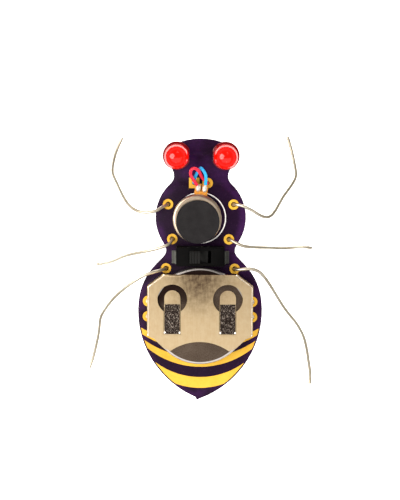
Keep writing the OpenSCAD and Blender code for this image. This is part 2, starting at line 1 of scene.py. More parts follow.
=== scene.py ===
"""Looks of a vibrating insect robot: its detailed pieces and finishes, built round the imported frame.

Every sub-assembly is a class that holds its sizes, builds its meshes and dresses them. All lengths
are in metres, in the frame's own coordinates: +Z up, +Y towards the head, feet on z = 0.
"""

from __future__ import annotations

import json
import logging
import math
from collections.abc import Iterable, Sequence
from dataclasses import dataclass
from enum import Enum

import bmesh
import bpy
from mathutils import Matrix, Vector, noise


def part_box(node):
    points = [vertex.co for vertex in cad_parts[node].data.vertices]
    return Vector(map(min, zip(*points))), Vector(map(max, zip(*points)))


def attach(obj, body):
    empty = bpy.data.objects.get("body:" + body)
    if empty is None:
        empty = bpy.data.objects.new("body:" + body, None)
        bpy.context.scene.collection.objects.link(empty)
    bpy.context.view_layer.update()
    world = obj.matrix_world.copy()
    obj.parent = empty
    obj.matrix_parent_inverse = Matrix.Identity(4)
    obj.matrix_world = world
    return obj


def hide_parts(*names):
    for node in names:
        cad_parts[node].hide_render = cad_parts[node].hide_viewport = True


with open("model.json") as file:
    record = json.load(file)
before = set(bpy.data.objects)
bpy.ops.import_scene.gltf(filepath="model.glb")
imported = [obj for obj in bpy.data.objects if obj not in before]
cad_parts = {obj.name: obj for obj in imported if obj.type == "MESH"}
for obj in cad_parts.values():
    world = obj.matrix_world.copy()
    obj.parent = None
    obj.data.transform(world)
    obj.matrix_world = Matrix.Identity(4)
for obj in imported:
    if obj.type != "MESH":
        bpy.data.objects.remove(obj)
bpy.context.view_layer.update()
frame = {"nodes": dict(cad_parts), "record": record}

LOG = logging.getLogger("insect_robot")
MM = 0.001
ROBOT = "robot"
Colour = tuple[float, float, float]
Point = tuple[float, float, float]


# ------------------------------------------------------------------ node graphs


class Wire:
    """One output of a node, on which Python arithmetic adds Math nodes."""

    def __init__(self, graph: Graph, socket: bpy.types.NodeSocket) -> None:
        """Keeps the graph and the socket.

        Args:
            graph: The graph that the socket's node is in.
            socket: The output socket.
        """
        self.graph = graph
        self.socket = socket

    def __add__(self, other: Wire | float) -> Wire:
        """Adds."""
        return self.graph.maths("ADD", self, other)

    __radd__ = __add__

    def __sub__(self, other: Wire | float) -> Wire:
        """Takes the other from this."""
        return self.graph.maths("SUBTRACT", self, other)

    def __rsub__(self, other: float) -> Wire:
        """Takes this from the other."""
        return self.graph.maths("SUBTRACT", other, self)

    def __mul__(self, other: Wire | float) -> Wire:
        """Multiplies."""
        return self.graph.maths("MULTIPLY", self, other)

    __rmul__ = __mul__

    def __truediv__(self, other: Wire | float) -> Wire:
        """Divides this by the other."""
        return self.graph.maths("DIVIDE", self, other)

    def __rtruediv__(self, other: float) -> Wire:
        """Divides the other by this."""
        return self.graph.maths("DIVIDE", other, self)

    def __neg__(self) -> Wire:
        """Changes the sign."""
        return self.graph.maths("MULTIPLY", self, -1.0)


class Graph:
    """A node tree that is written as expressions."""

    def __init__(self, tree: bpy.types.NodeTree) -> None:
        """Keeps the tree.

        Args:
            tree: A shader or a geometry node tree.
        """
        self.tree = tree

    def node(
        self,
        kind: str,
        settings: dict[str, object] | None = None,
        inputs: dict[str | int, object] | None = None,
        output: int | str = 0,
    ) -> Wire:
        """Makes any node.

        Args:
            kind: The node's type.
            settings: Its settings, which are set first; "stops" are a colour ramp's.
            inputs: Values or wires for its sockets. A list of wires fills one multi-input socket.
            output: Which output to return.

        Returns:
            The chosen output.
        """
        made = self.tree.nodes.new(kind)
        for name, value in (settings or {}).items():
            if name == "stops":
                self._set_stops(made.color_ramp, value)
            else:
                setattr(made, name, value)
        for name, value in (inputs or {}).items():
            socket = made.inputs[name]
            for item in value if isinstance(value, list) else [value]:
                if isinstance(item, Wire):
                    self.tree.links.new(item.socket, socket)
                else:
                    socket.default_value = item
        return Wire(self, made.outputs[output])

    @staticmethod
    def _set_stops(ramp: bpy.types.ColorRamp, stops: object) -> None:
        """Gives a colour ramp its stops.

        Args:
            ramp: The ramp.
            stops: Pairs of a place from 0 to 1 and a colour.
        """
        while len(ramp.elements) < len(stops):
            ramp.elements.new(1.0)
        for element, (place, colour) in zip(ramp.elements, stops, strict=True):
            element.position = place
            element.color = (*colour, 1.0)

    def maths(self, operation: str, *values: Wire | float) -> Wire:
        """Adds a Math node with the given operation and operands."""
        return self.node("ShaderNodeMath", {"operation": operation}, dict(enumerate(values)))

    def smooth(self, value: Wire, low: float, high: float) -> Wire:
        """Turns a value into a smooth mask.

        Args:
            value: The value to read.
            low: Where the mask is 0.
            high: Where the mask is 1.

        Returns:
            The mask, from 0 to 1.
        """
        return self.node(
            "ShaderNodeMapRange",
            {"interpolation_type": "SMOOTHSTEP"},
            {"Value": value, "From Min": low, "From Max": high},
        )

    def fade(self, value: Wire, low: float, high: float) -> Wire:
        """Turns a value into a smooth mask that falls from 1 at the low value to 0 at the high one."""
        return 1.0 - self.smooth(value, low, high)

    def length(self, across: Wire, along: Wire) -> Wire:
        """Gives the length of a flat vector from its two parts."""
        return self.maths("SQRT", across * across + along * along)


class Shader(Graph):
    """A material written as expressions that end in one Principled shader."""

    def __init__(self, name: str) -> None:
        """Starts a material.

        Args:
            name: The material's name.
        """
        self.material = bpy.data.materials.new(name)
        self.material.use_nodes = True
        super().__init__(self.material.node_tree)
        self.tree.nodes.clear()
        self.surface = self.tree.nodes.new("ShaderNodeBsdfPrincipled")
        end = self.tree.nodes.new("ShaderNodeOutputMaterial")
        self.tree.links.new(self.surface.outputs[0], end.inputs["Surface"])

    @classmethod
    def in_tree(cls, tree: bpy.types.NodeTree) -> Shader:
        """Makes a shader graph in a tree that is already there, such as a world's."""
        made = cls.__new__(cls)
        made.tree = tree
        return made

    def set(self, **sockets: object) -> None:
        """Sets the shader's own sockets.

        Args:
            sockets: Values or wires by socket name, with underscores for spaces.
        """
        for name, value in sockets.items():
            socket = self.surface.inputs[name.replace("_", " ")]
            if isinstance(value, Wire):
                self.tree.links.new(value.socket, socket)
            elif isinstance(value, tuple) and len(value) == 3 and len(socket.default_value) == 4:
                socket.default_value = (*value, 1.0)
            else:
                socket.default_value = value

    def place(self) -> Wire:
        """Gives the object coordinates."""
        return self.node("ShaderNodeTexCoord", output="Object")

    def mapped(self, stretch: Point = (1, 1, 1), centre: Point = (0, 0, 0), turn: float = 0.0) -> Wire:
        """Gives object coordinates that are centred, turned about Z and stretched.

        Args:
            stretch: A factor for each axis.
            centre: The point that becomes the pattern's origin.
            turn: The turn about Z, in radians.

        Returns:
            The mapped coordinates.
        """
        moved = self.node(
            "ShaderNodeMapping",
            {"vector_type": "POINT"},
            {"Vector": self.place(), "Location": tuple(-c for c in centre)},
        )
        return self.node(
            "ShaderNodeMapping",
            {"vector_type": "POINT"},
            {"Vector": moved, "Rotation": (0.0, 0.0, turn), "Scale": stretch},
        )

    def grain(self, vector: Wire, scale: float, detail: float = 3.0, rough: float = 0.55) -> Wire:
        """Adds a noise pattern.

        Args:
            vector: The coordinates to read.
            scale: Cells to the metre.
            detail: Octaves.
            rough: How strong the fine octaves are.

        Returns:
            The pattern, from 0 to 1.
        """
        return self.node(
            "ShaderNodeTexNoise",
            {"noise_dimensions": "3D"},
            {"Vector": vector, "Scale": scale, "Detail": detail, "Roughness": rough},
        )

    def mix(self, share: Wire | float, first: Wire | Colour, second: Wire | Colour) -> Wire:
        """Mixes two colours.

        Args:
            share: How much of the second shows.
            first: The colour at 0.
            second: The colour at 1.

        Returns:
            The mixed colour.
        """
        ends = [c if isinstance(c, Wire) else (*c, 1.0) for c in (first, second)]
        return self.node(
            "ShaderNodeMix",
            {"data_type": "RGBA", "clamp_factor": True},
            {0: share, 6: ends[0], 7: ends[1]},
            output=2,
        )

    def bump(self, height: Wire, depth: float) -> Wire:
        """Turns a height pattern from 0 to 1, that is depth metres deep, into a normal."""
        return self.node("ShaderNodeBump", None, {"Height": height, "Distance": depth, "Strength": 1.0})

    def xyz(self, vector: Wire) -> tuple[Wire, Wire, Wire]:
        """Splits a vector.

        Args:
            vector: The vector.

        Returns:
            Its three parts.
        """
        first = self.node("ShaderNodeSeparateXYZ", None, {"Vector": vector})
        outs = first.socket.node.outputs
        return first, Wire(self, outs[1]), Wire(self, outs[2])


class Rule(Graph):
    """A Geometry Nodes tree with named inputs, which is run once and leaves a plain mesh."""

    def __init__(self, name: str, **inputs: float) -> None:
        """Starts a tree with one geometry input and the named numbers.

        Args:
            name: The tree's name.
            inputs: The named inputs and their values, with underscores for spaces.
        """
        super().__init__(bpy.data.node_groups.new(name, "GeometryNodeTree"))
        face = self.tree.interface
        face.new_socket("Geometry", in_out="INPUT", socket_type="NodeSocketGeometry")
        self.values: dict[str, float] = {}
        for key, value in inputs.items():
            kind = "NodeSocketInt" if isinstance(value, int) else "NodeSocketFloat"
            socket = face.new_socket(key.replace("_", " "), in_out="INPUT", socket_type=kind)
            self.values[socket.identifier] = value
        face.new_socket("Geometry", in_out="OUTPUT", socket_type="NodeSocketGeometry")
        self.entry = self.tree.nodes.new("NodeGroupInput")

    def given(self, name: str = "Geometry") -> Wire:
        """Gives one of the tree's own inputs."""
        return Wire(self, self.entry.outputs[name])

    def finish(self, shape: Wire, material: bpy.types.Material) -> None:
        """Ends the tree in Realize Instances and Set Material.

        Args:
            shape: The geometry made.
            material: The material for all of it.
        """
        real = self.node("GeometryNodeRealizeInstances", None, {"Geometry": shape})
        shaded = self.node("GeometryNodeSetShadeSmooth", None, {"Geometry": real})
        dressed = self.node("GeometryNodeSetMaterial", None, {"Geometry": shaded, "Material": material})
        end = self.tree.nodes.new("NodeGroupOutput")
        self.tree.links.new(dressed.socket, end.inputs[0])

    def run(self, name: str, source: bpy.types.Mesh) -> bpy.types.Object:
        """Applies the tree to a mesh.

        Args:
            name: The piece's name.
            source: The points or edges that the tree reads.

        Returns:
            An object with a plain mesh and no modifier.
        """
        piece = bpy.data.objects.new(name, source)
        bpy.context.scene.collection.objects.link(piece)
        modifier = piece.modifiers.new(self.tree.name, "NODES")
        modifier.node_group = self.tree
        for identifier, value in self.values.items():
            modifier[identifier] = value
        graph = bpy.context.evaluated_depsgraph_get()
        made = bpy.data.meshes.new_from_object(piece.evaluated_get(graph))
        piece.modifiers.clear()
        piece.data = made
        made.name = name
        return piece


# ------------------------------------------------------------------ finishes


@dataclass(frozen=True)
class Metal:
    """A metal with grain, clouding and fine handling marks."""

    slot: str
    bright: Colour
    dull: Colour
    roughness: float
    grain_scale: float = 2500.0
    stretch: Point = (1.0, 1.0, 1.0)
    depth: float = 4e-6
    cloud_scale: float = 260.0
    metallic: float = 1.0

    def dress(self, shader: Shader) -> None:
        """Writes the finish.

        Args:
            shader: The material to write.
        """
        grain = shader.grain(shader.mapped(self.stretch), self.grain_scale)
        cloud = shader.grain(shader.place(), self.cloud_scale, 4.0)
        speck = shader.grain(shader.place(), self.grain_scale * 0.5, 6.0, 0.7)
        dulling = shader.smooth(cloud + 0.35 * grain, 0.45, 1.0)
        shader.set(
            Base_Color=shader.mix(dulling, self.bright, self.dull),
            Metallic=self.metallic,
            Roughness=self.roughness + 0.14 * dulling + 0.08 * shader.smooth(speck, 0.45, 0.7),
            Normal=shader.bump(grain + 0.4 * speck, self.depth),
        )


@dataclass(frozen=True)
class Turned:
    """A metal with fine rings about an upright axis, as on a turned or drawn round part."""

    slot: str
    bright: Colour
    dull: Colour
    roughness: float
    centre: Point
    rings: float = 9000.0
    depth: float = 3e-6

    def dress(self, shader: Shader) -> None:
        """Writes the finish.

        Args:
            shader: The material to write.
        """
        x, y, z = shader.xyz(shader.mapped(centre=self.centre))
        radius = shader.length(x, y)
        reach = shader.node("ShaderNodeCombineXYZ", None, {"X": radius, "Y": 0.12 * z, "Z": 0.02 * x})
        rings = shader.grain(reach, self.rings, 2.0)
        cloud = shader.grain(shader.place(), 330.0, 4.0)
        shader.set(
            Base_Color=shader.mix(shader.smooth(cloud, 0.4, 0.75), self.bright, self.dull),
            Metallic=1.0,
            Roughness=self.roughness + 0.1 * rings + 0.08 * cloud,
            Normal=shader.bump(rings, self.depth),
        )


@dataclass(frozen=True)
class CellSteel:
    """A coin cell's steel: a flat face painted dark as a dark reflection and marked by fine pits, and a
    bright drawn edge.
    """

    slot: str
    # The face colour is painted dark as a dark reflection.
    face: Colour
    worn: Colour
    rim: Colour
    # A deeper painted dark reflection towards the head on the left; the from, to and drift lengths below
    # place it.
    dark_reflection: Colour
    centre: Point
    rim_r: float
    rim_blend: float = 0.12 * MM
    dark_reflection_from: float = -5.5 * MM
    dark_reflection_to: float = -0.8 * MM
    dark_reflection_drift: float = 3.0 * MM
    depth: float = 1.2e-5

    def dress(self, shader: Shader) -> None:
        """Writes the finish, with a painted dark reflection that lies towards the head on the left.

        Args:
            shader: The material to write.
        """
        x, y, _ = shader.xyz(shader.mapped(centre=self.centre))
        radius = shader.length(x, y)
        rim = shader.smooth(radius, self.rim_r - self.rim_blend, self.rim_r)
        pits = shader.grain(shader.place(), 5200.0, 3.0, 0.7)
        streaks = shader.grain(shader.mapped((1.0, 0.15, 1.0)), 3000.0, 2.0)
        cloud = shader.grain(shader.place(), 260.0, 4.0)
        outside_patch = shader.mix(shader.smooth(pits + 0.4 * cloud, 0.5, 0.95), self.face, self.worn)
        # Painted dark reflection: the face darkens further towards the head on the left.
        slant = 0.35 * x - 0.65 * y + self.dark_reflection_drift * (cloud - 0.5)
        dull = shader.mix(shader.smooth(slant, self.dark_reflection_from, self.dark_reflection_to), self.dark_reflection, outside_patch)
        shader.set(
            Base_Color=shader.mix(rim, dull, self.rim),
            Metallic=1.0,
            Roughness=0.3 - 0.06 * rim + 0.1 * cloud,
            Normal=shader.bump((pits + 0.5 * streaks) * (1.0 - 0.7 * rim), self.depth),
        )


@dataclass(frozen=True)
class Plastic:
    """A moulded plastic or lacquer with a fine texture and a little dust."""

    slot: str
    colour: Colour
    worn: Colour
    roughness: float
    texture_scale: float = 3200.0
    depth: float = 6e-6
    coat: float = 0.0
    gloss: float = 0.5
    glow: float = 0.0

    def dress(self, shader: Shader) -> None:
        """Writes the finish.

        Args:
            shader: The material to write.
        """
        texture = shader.grain(shader.place(), self.texture_scale, 2.0)
        cloud = shader.grain(shader.place(), 420.0, 4.0)
        dust = shader.smooth(shader.grain(shader.place(), self.texture_scale * 0.6, 5.0, 0.75), 0.62, 0.78)
        shader.set(
            Base_Color=shader.mix(
                0.55 * shader.smooth(cloud, 0.45, 0.8) + 0.3 * dust, self.colour, self.worn
            ),
            Roughness=self.roughness + 0.1 * cloud,
            Coat_Weight=self.coat,
            Coat_Roughness=0.12,
            Specular_IOR_Level=self.gloss,
            Emission_Color=self.colour,
            Emission_Strength=self.glow,
            Normal=shader.bump(texture, self.depth),
        )


@dataclass(frozen=True)
class Epoxy:
    """A clear tinted casting, as an LED's lens, which is deeper in colour in its thick flange."""

    slot: str
    tint: Colour
    deep: Colour
    flange_top: float
    blend: float = 2.5 * MM
    refraction: float = 1.38
    clear: float = 0.15
    coat: float = 0.2
    glow: float = 0.3

    def dress(self, shader: Shader) -> None:
        """Writes the finish.

        Args:
            shader: The material to write.
        """
        _, _, z = shader.xyz(shader.place())
        body = shader.smooth(z, self.flange_top, self.flange_top + self.blend)
        cloud = shader.smooth(shader.grain(shader.place(), 420.0, 2.0), 0.35, 0.75)
        ripple = shader.grain(shader.place(), 500.0, 2.0)
        colour = shader.mix(body * (1.0 - 0.35 * cloud), self.deep, self.tint)
        shader.set(
            Base_Color=colour,
            Roughness=0.05 + 0.05 * ripple,
            IOR=self.refraction,
            Transmission_Weight=self.clear,
            Coat_Weight=self.coat,
            Coat_Roughness=0.03,
            Emission_Color=colour,
            Emission_Strength=self.glow,
            Normal=shader.bump(ripple, 8e-6),
        )


@dataclass(frozen=True)
class Foam:
    """A fine closed-cell foam: pits of two sizes and a soft sheen."""

    slot: str
    colour: Colour
    worn: Colour
    sheen: float = 0.25
    gloss: float = 0.2

    def dress(self, shader: Shader) -> None:
        """Writes the finish.

        Args:
            shader: The material to write.
        """
        cells = shader.node(
            "ShaderNodeTexVoronoi", {"feature": "F1"}, {"Vector": shader.place(), "Scale": 5200.0}
        )
        fine = shader.grain(shader.place(), 6000.0, 4.0, 0.7)
        cloud = shader.grain(shader.place(), 500.0, 3.0)
        shader.set(
            Base_Color=shader.mix(shader.smooth(cloud + 0.5 * fine, 0.5, 1.0), self.colour, self.worn),
            Roughness=0.8 + 0.15 * fine,
            Specular_IOR_Level=self.gloss,
            Sheen_Weight=self.sheen,
            Sheen_Roughness=0.5,
            Normal=shader.bump(cells + 0.6 * fine, 2.2e-5),
        )


@dataclass(frozen=True)
class SolderMask:
    """A satin lacquer over glass fibre, bare at the routed edge, with painted shade over the chest and belly.
    """

    slot: str
    # The darker purple is both a random cloudy tone and the colour of the painted shade.
    dark_purple: Colour
    light_purple: Colour
    speck: Colour
    edge: Colour
    chest: Point
    chest_r: float
    belly: Point
    belly_r: tuple[float, float]
    gloss: float = 0.09
    depth: float = 1.4e-5

    def dress(self, shader: Shader) -> None:
        """Writes the finish: painted shade darkens the chest and belly and stops short of the board's edge.

        Args:
            shader: The material to write.
        """
        x, y, _ = shader.xyz(shader.place())
        # The chest and belly masks carry painted shade: the face is darkened with the darker purple in the
        # board's middle, and the same masks are slightly raised in the bump.
        chest = self._inside(shader, x, y, self.chest, (self.chest_r, self.chest_r))
        belly = self._inside(shader, x, y, self.belly, self.belly_r)
        shaded_middle = shader.maths("MAXIMUM", chest, belly)
        weave = shader.grain(shader.mapped((1.0, 1.0, 0.2), turn=math.radians(45)), 1500.0, 3.0)
        cloud = shader.grain(shader.place(), 180.0, 5.0, 0.6)
        pits = shader.smooth(shader.grain(shader.place(), 4200.0, 3.0, 0.7), 0.6, 0.75)
        glass = shader.mix(shader.smooth(cloud, 0.35, 0.7), self.light_purple, self.dark_purple)
        face = shader.mix(shaded_middle * (0.75 + 0.3 * cloud), glass, self.dark_purple)
        speckled = shader.mix(0.45 * pits, face, self.speck)
        normal = shader.node("ShaderNodeNewGeometry", output="Normal")
        up = shader.maths("ABSOLUTE", shader.xyz(normal)[2])
        side = shader.fade(up, 0.35, 0.75)
        layers = shader.smooth(shader.grain(shader.mapped((0.2, 0.2, 6.0)), 1800.0, 2.0), 0.3, 0.7)
        cut = shader.mix(layers, self.edge, self.light_purple)
        shader.set(
            Base_Color=shader.mix(side, speckled, cut),
            Roughness=0.34 + 0.12 * cloud + 0.3 * side,
            Specular_IOR_Level=self.gloss,
            Normal=shader.bump(weave + 0.8 * shaded_middle + 0.3 * pits, self.depth),
        )

    @staticmethod
    def _inside(
        shader: Shader, x: Wire, y: Wire, centre: Point, radii: tuple[float, float]
    ) -> Wire:
        """Makes a soft mask of an ellipse.

        Args:
            shader: The material to write.
            x: The X coordinate.
            y: The Y coordinate.
            centre: The ellipse's centre.
            radii: Its two radii.

        Returns:
            1 inside and 0 outside.
        """
        across = (x - centre[0]) / radii[0]
        along = (y - centre[1]) / radii[1]
        return shader.fade(shader.length(across, along), 0.86, 1.02)


@dataclass(frozen=True)
class Sheet:
    """Nickel-plated sheet: rolled grain, a painted dark reflection that fades outwards from one spot, painted
    dark reflection and painted glints on the finger slopes, and painted highlights on the folds and finger
    roots.
    """

    slot: str
    bright: Colour
    pale: Colour
    # A near-white painted highlight for the folds and the fingers' roots.
    painted_highlight: Colour
    # The colour of the plate's painted dark reflection where it is darkest.
    deep: Colour
    # A painted dark reflection on the finger slopes, and next the painted glints on them.
    slope_dark_reflection: Colour
    slope_glint: Colour
    # Where the plate's painted dark reflection is darkest, and how far it reaches.
    dark_reflection_spot: Point
    reach: tuple[float, float]
    finger_x: float
    finger_half: float
    root_y: float
    bend_y: float
    roughness: float
    blend: float = 0.1 * MM
    depth: float = 3e-6

    def dress(self, shader: Shader) -> None:
        """Writes the finish.

        Args:
            shader: The material to write.
        """
        grain = shader.grain(shader.mapped((1.0, 0.12, 1.0)), 3600.0, 3.0)
        mottle = shader.grain(shader.place(), 900.0, 5.0, 0.7)
        tilt = shader.xyz(shader.node("ShaderNodeNewGeometry", output="True Normal"))[2]
        x, y, _ = shader.xyz(shader.place())
        beside = shader.maths("ABSOLUTE", shader.maths("ABSOLUTE", x) - self.finger_x)
        # The slopes are painted as a dark reflection with flecks of painted glint; the flecks are also
        # bumped.
        glint_noise = shader.grain(shader.mapped((1.5, 0.75, 1.0), turn=0.6), 3600.0, 4.0, 0.8)
        glint_flecks = shader.smooth(glint_noise, 0.54, 0.6)
        bent = self._slope(shader, beside, y) * shader.smooth(tilt, 0.97, 0.985)
        # Painted highlights on the folds and at the fingers' roots, where the metal is also made less
        # metallic and rougher.
        folded = shader.fade(tilt, 0.93, 0.985) * shader.smooth(tilt, 0.1, 0.3)
        root_highlight = self._root_highlight(shader, beside, y) * shader.smooth(tilt, 0.9, 0.95)
        highlight_mask = shader.maths("MAXIMUM", root_highlight, folded)
        flat = self._plate(shader, grain, mottle)
        # The plate's colour with the painted dark reflection and painted glints on the slopes.
        worn = shader.mix(bent, flat, shader.mix(glint_flecks, self.slope_dark_reflection, self.slope_glint))
        shader.set(
            Base_Color=shader.mix(highlight_mask, worn, self.painted_highlight),
            Metallic=1.0 - 0.8 * highlight_mask,
            Roughness=self.roughness + 0.08 * mottle + 0.06 * grain + 0.1 * bent + 0.2 * highlight_mask,
            Normal=shader.bump(grain + 0.5 * mottle + 4.0 * bent * glint_flecks, self.depth),
        )

    def _plate(self, shader: Shader, grain: Wire, mottle: Wire) -> Wire:
        """Colours the flat plate, with a painted dark reflection that is darkest at one spot.

        Args:
            shader: The material to write.
            grain: The rolled grain.
            mottle: The fine mottling.

        Returns:
            The colour.
        """
        cloud = shader.grain(shader.place(), 190.0, 4.0)
        x, y, _ = shader.xyz(shader.mapped(centre=self.dark_reflection_spot))
        distance = shader.length(x / self.reach[0], y / self.reach[1])
        # Painted dark reflection: the plate is darkest at the spot and clears outwards.
        outside_patch = shader.smooth(distance + 0.5 * (cloud - 0.5) + 0.22 * (mottle - 0.5), 0.1, 1.0)
        plate = shader.mix(outside_patch, self.deep, self.bright)
        lifted = shader.mix(outside_patch, self.bright, self.pale)
        return shader.mix(0.45 * shader.smooth(mottle + 0.5 * grain, 0.55, 1.0), plate, lifted)

    def _slope(self, shader: Shader, beside: Wire, y: Wire) -> Wire:
        """Makes a mask of the fingers' slopes, where a painted dark reflection goes.

        Args:
            shader: The material to write.
            beside: The distance from the nearer finger's middle line.
            y: The Y coordinate.

        Returns:
            1 on the slopes and 0 elsewhere.
        """
        inside = shader.fade(beside, self.finger_half - 1.2 * self.blend, self.finger_half)
        above = shader.smooth(y, self.root_y, self.root_y + self.blend)
        return inside * above * shader.fade(y, self.bend_y - self.blend, self.bend_y)

    def _root_highlight(self, shader: Shader, beside: Wire, y: Wire) -> Wire:
        """Makes a mask of the painted highlights in the two corners of each finger's root.

        Args:
            shader: The material to write.
            beside: The distance from the nearer finger's middle line.
            y: The Y coordinate.

        Returns:
            1 in the dimples and 0 elsewhere.
        """
        side, end = beside - self.finger_half + self.blend, y - self.root_y - 3.5 * self.blend
        return shader.fade(shader.length(side, end), 1.4 * self.blend, 2.8 * self.blend)


Finish = Metal | Turned | CellSteel | Plastic | Epoxy | Foam | SolderMask | Sheet


class Wardrobe:
    """The finishes by the record's material slots, each made into a material once."""

    def __init__(self, finishes: Iterable[Finish]) -> None:
        """Keeps the finishes.

        Args:
            finishes: One finish for each slot.
        """
        self.finishes = {finish.slot: finish for finish in finishes}
        self.made: dict[str, bpy.types.Material] = {}

    def material(self, slot: str) -> bpy.types.Material:
        """Gives a slot's material.

        Args:
            slot: The record's slot.

        Returns:
            The material.
        """
        if slot not in self.made:
            shader = Shader(slot)
            self.finishes[slot].dress(shader)
            self.made[slot] = shader.material
        return self.made[slot]


def middle(node: str) -> Vector:
    """Gives the middle of a CAD node's box."""
    low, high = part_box(node)
    return (low + high) / 2


def finishes() -> list[Finish]:
    """Lists the finish of every slot.

    Returns:
        The finishes.
    """
    motor = tuple(middle("motor_can"))
    cell = tuple(middle("cell_can"))
    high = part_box("cell_retainer")[1]
    flange_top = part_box("led_lens_left")[0].z + MM
    return [
        SolderMask(
            "purple_board",
            # The first, darker purple is both the random clouding and the painted shade over the chest and
            # belly ellipses below.
            dark_purple=(0.0070, 0.0016, 0.0088),
            light_purple=(0.025, 0.0054, 0.039),
            speck=(0.075, 0.035, 0.072),
            edge=(0.060, 0.040, 0.030),
            chest=(0.0, 10.6 * MM, 0.0),
            chest_r=8.6 * MM,
            belly=(0.0, -10.5 * MM, 0.0),
            belly_r=(12.2 * MM, 15.5 * MM),
        ),
        Metal(
            "gold_plating", (0.72, 0.43, 0.042), (0.66, 0.34, 0.024), 0.36, depth=5e-6, metallic=0.35
        ),
        Metal("tinned_wire", (0.74, 0.68, 0.55), (0.48, 0.41, 0.30), 0.4, depth=6e-6),
        Metal(
            "solder",
            (0.92, 0.89, 0.83),
            (0.70, 0.66, 0.58),
            0.3,
            grain_scale=1600.0,
            depth=1.2e-5,
            metallic=0.5,
        ),
        Sheet(
            "retainer_nickel",
            bright=(0.74, 0.545, 0.31),
            pale=(0.86, 0.70, 0.46),
            # A near-white painted highlight for the folds and the fingers' roots.
            painted_highlight=(0.96, 0.91, 0.83),
            # The deep colour is the plate's painted dark reflection, darkest at the spot given below.
            deep=(0.155, 0.10, 0.06),
            # A painted dark reflection for the finger slopes, then their painted glints.
            slope_dark_reflection=(0.030, 0.021, 0.017),
            slope_glint=(0.52, 0.44, 0.37),
            dark_reflection_spot=(0.0, high.y, 0.0),
            reach=(9.0 * MM, 9.5 * MM),
            finger_x=5.7 * MM,
            finger_half=1.65 * MM,
            root_y=-13.15 * MM,
            bend_y=-6.9 * MM,
            roughness=0.24,
        ),
        Turned("motor_steel", (0.62, 0.50, 0.37), (0.42, 0.32, 0.23), 0.28, motor),
        Foam("black_foam", (0.010, 0.0092, 0.0096), (0.014, 0.013, 0.0135), 0.0, 0.1),
        Plastic("tape_white", (0.80, 0.79, 0.76), (0.62, 0.60, 0.56), 0.6),
        Plastic("amber_film", (0.62, 0.26, 0.030), (0.42, 0.16, 0.020), 0.25, coat=0.5),
        Plastic("red_insulation", (0.60, 0.010, 0.035), (0.42, 0.008, 0.025), 0.34, depth=3e-6, coat=0.25),
        Plastic("blue_insulation", (0.010, 0.30, 0.62), (0.008, 0.20, 0.44), 0.34, depth=3e-6, coat=0.25),
        Epoxy("red_lens", (0.62, 0.004, 0.001), (0.14, 0.001, 0.002), flange_top=flange_top),
        Metal("led_metal", (0.78, 0.77, 0.72), (0.52, 0.50, 0.45), 0.3),
        Plastic("led_die", (0.80, 0.30, 0.18), (0.60, 0.20, 0.10), 0.3, glow=0.5),
        Plastic("black_nylon", (0.0020, 0.0019, 0.0019), (0.0040, 0.0038, 0.0036), 0.5, gloss=0.05),
        Plastic("lever_plastic", (0.007, 0.007, 0.0066), (0.011, 0.0105, 0.010), 0.45, gloss=0.1),
        # Painted shade: the switch tabs' tin is made much darker than tin.
        Metal("dull_tin", (0.17, 0.175, 0.16), (0.09, 0.09, 0.08), 0.42, depth=8e-6),
        Metal("contact_bronze", (0.80, 0.52, 0.22), (0.52, 0.32, 0.12), 0.3),
        CellSteel(
            "cell_steel",
            # The face colour is a painted dark reflection, and the fourth colour a deeper one towards the
            # head on the left.
            face=(0.085, 0.058, 0.042),
            worn=(0.16, 0.12, 0.09),
            rim=(0.72, 0.66, 0.62),
            dark_reflection=(0.022, 0.012, 0.010),
            centre=cell,
            rim_r=9.6 * MM,
        ),
        Plastic("gasket_plastic", (0.62, 0.58, 0.46), (0.46, 0.42, 0.32), 0.5),
        Foam("cathode_mix", (0.020, 0.020, 0.022), (0.040, 0.040, 0.042)),
        Foam("separator_felt", (0.80, 0.79, 0.74), (0.64, 0.62, 0.56)),
        Metal("lithium", (0.72, 0.73, 0.75), (0.50, 0.50, 0.51), 0.45),
        Metal("magnet_ferrite", (0.10, 0.10, 0.11), (0.05, 0.05, 0.055), 0.5, metallic=0.6),
        Plastic("rotor_plastic", (0.66, 0.60, 0.42), (0.50, 0.44, 0.30), 0.45),
        Metal("enamelled_copper", (0.62, 0.24, 0.08), (0.40, 0.13, 0.04), 0.28, stretch=(1, 1, 8)),
        Metal("dense_weight", (0.42, 0.43, 0.44), (0.26, 0.26, 0.27), 0.42),
        Metal("bush_bronze", (0.58, 0.36, 0.14), (0.36, 0.20, 0.07), 0.38),
    ]


# ------------------------------------------------------------------ shapes


def bezier(a: Vector, b: Vector, c: Vector, d: Vector, steps: int) -> list[Vector]:
    """Gives points on a cubic curve, without its last one.

    Args:
        a: The start.
        b: The start's handle.
        c: The end's handle.
        d: The end.
        steps: How many points.

    Returns:
        The points.
    """
    out = []
    for i in range(steps):
        t = i / steps
        s = 1 - t
        out.append(s**3 * a + 3 * s * s * t * b + 3 * s * t * t * c + t**3 * d)
    return out


def ellipse_arc(
    centre: Vector, radii: tuple[float, float], start: float, end: float, steps: int
) -> list[Vector]:
    """Gives points on an arc of an ellipse, without its last one.

    Args:
        centre: The centre.
        radii: The two radii.
        start: The first angle in degrees.
        end: The last angle in degrees.
        steps: How many points.

    Returns:
        The points.
    """
    out = []
    for i in range(steps):
        angle = math.radians(start + (end - start) * i / steps)
        out.append(centre + Vector((radii[0] * math.cos(angle), radii[1] * math.sin(angle))))
    return out


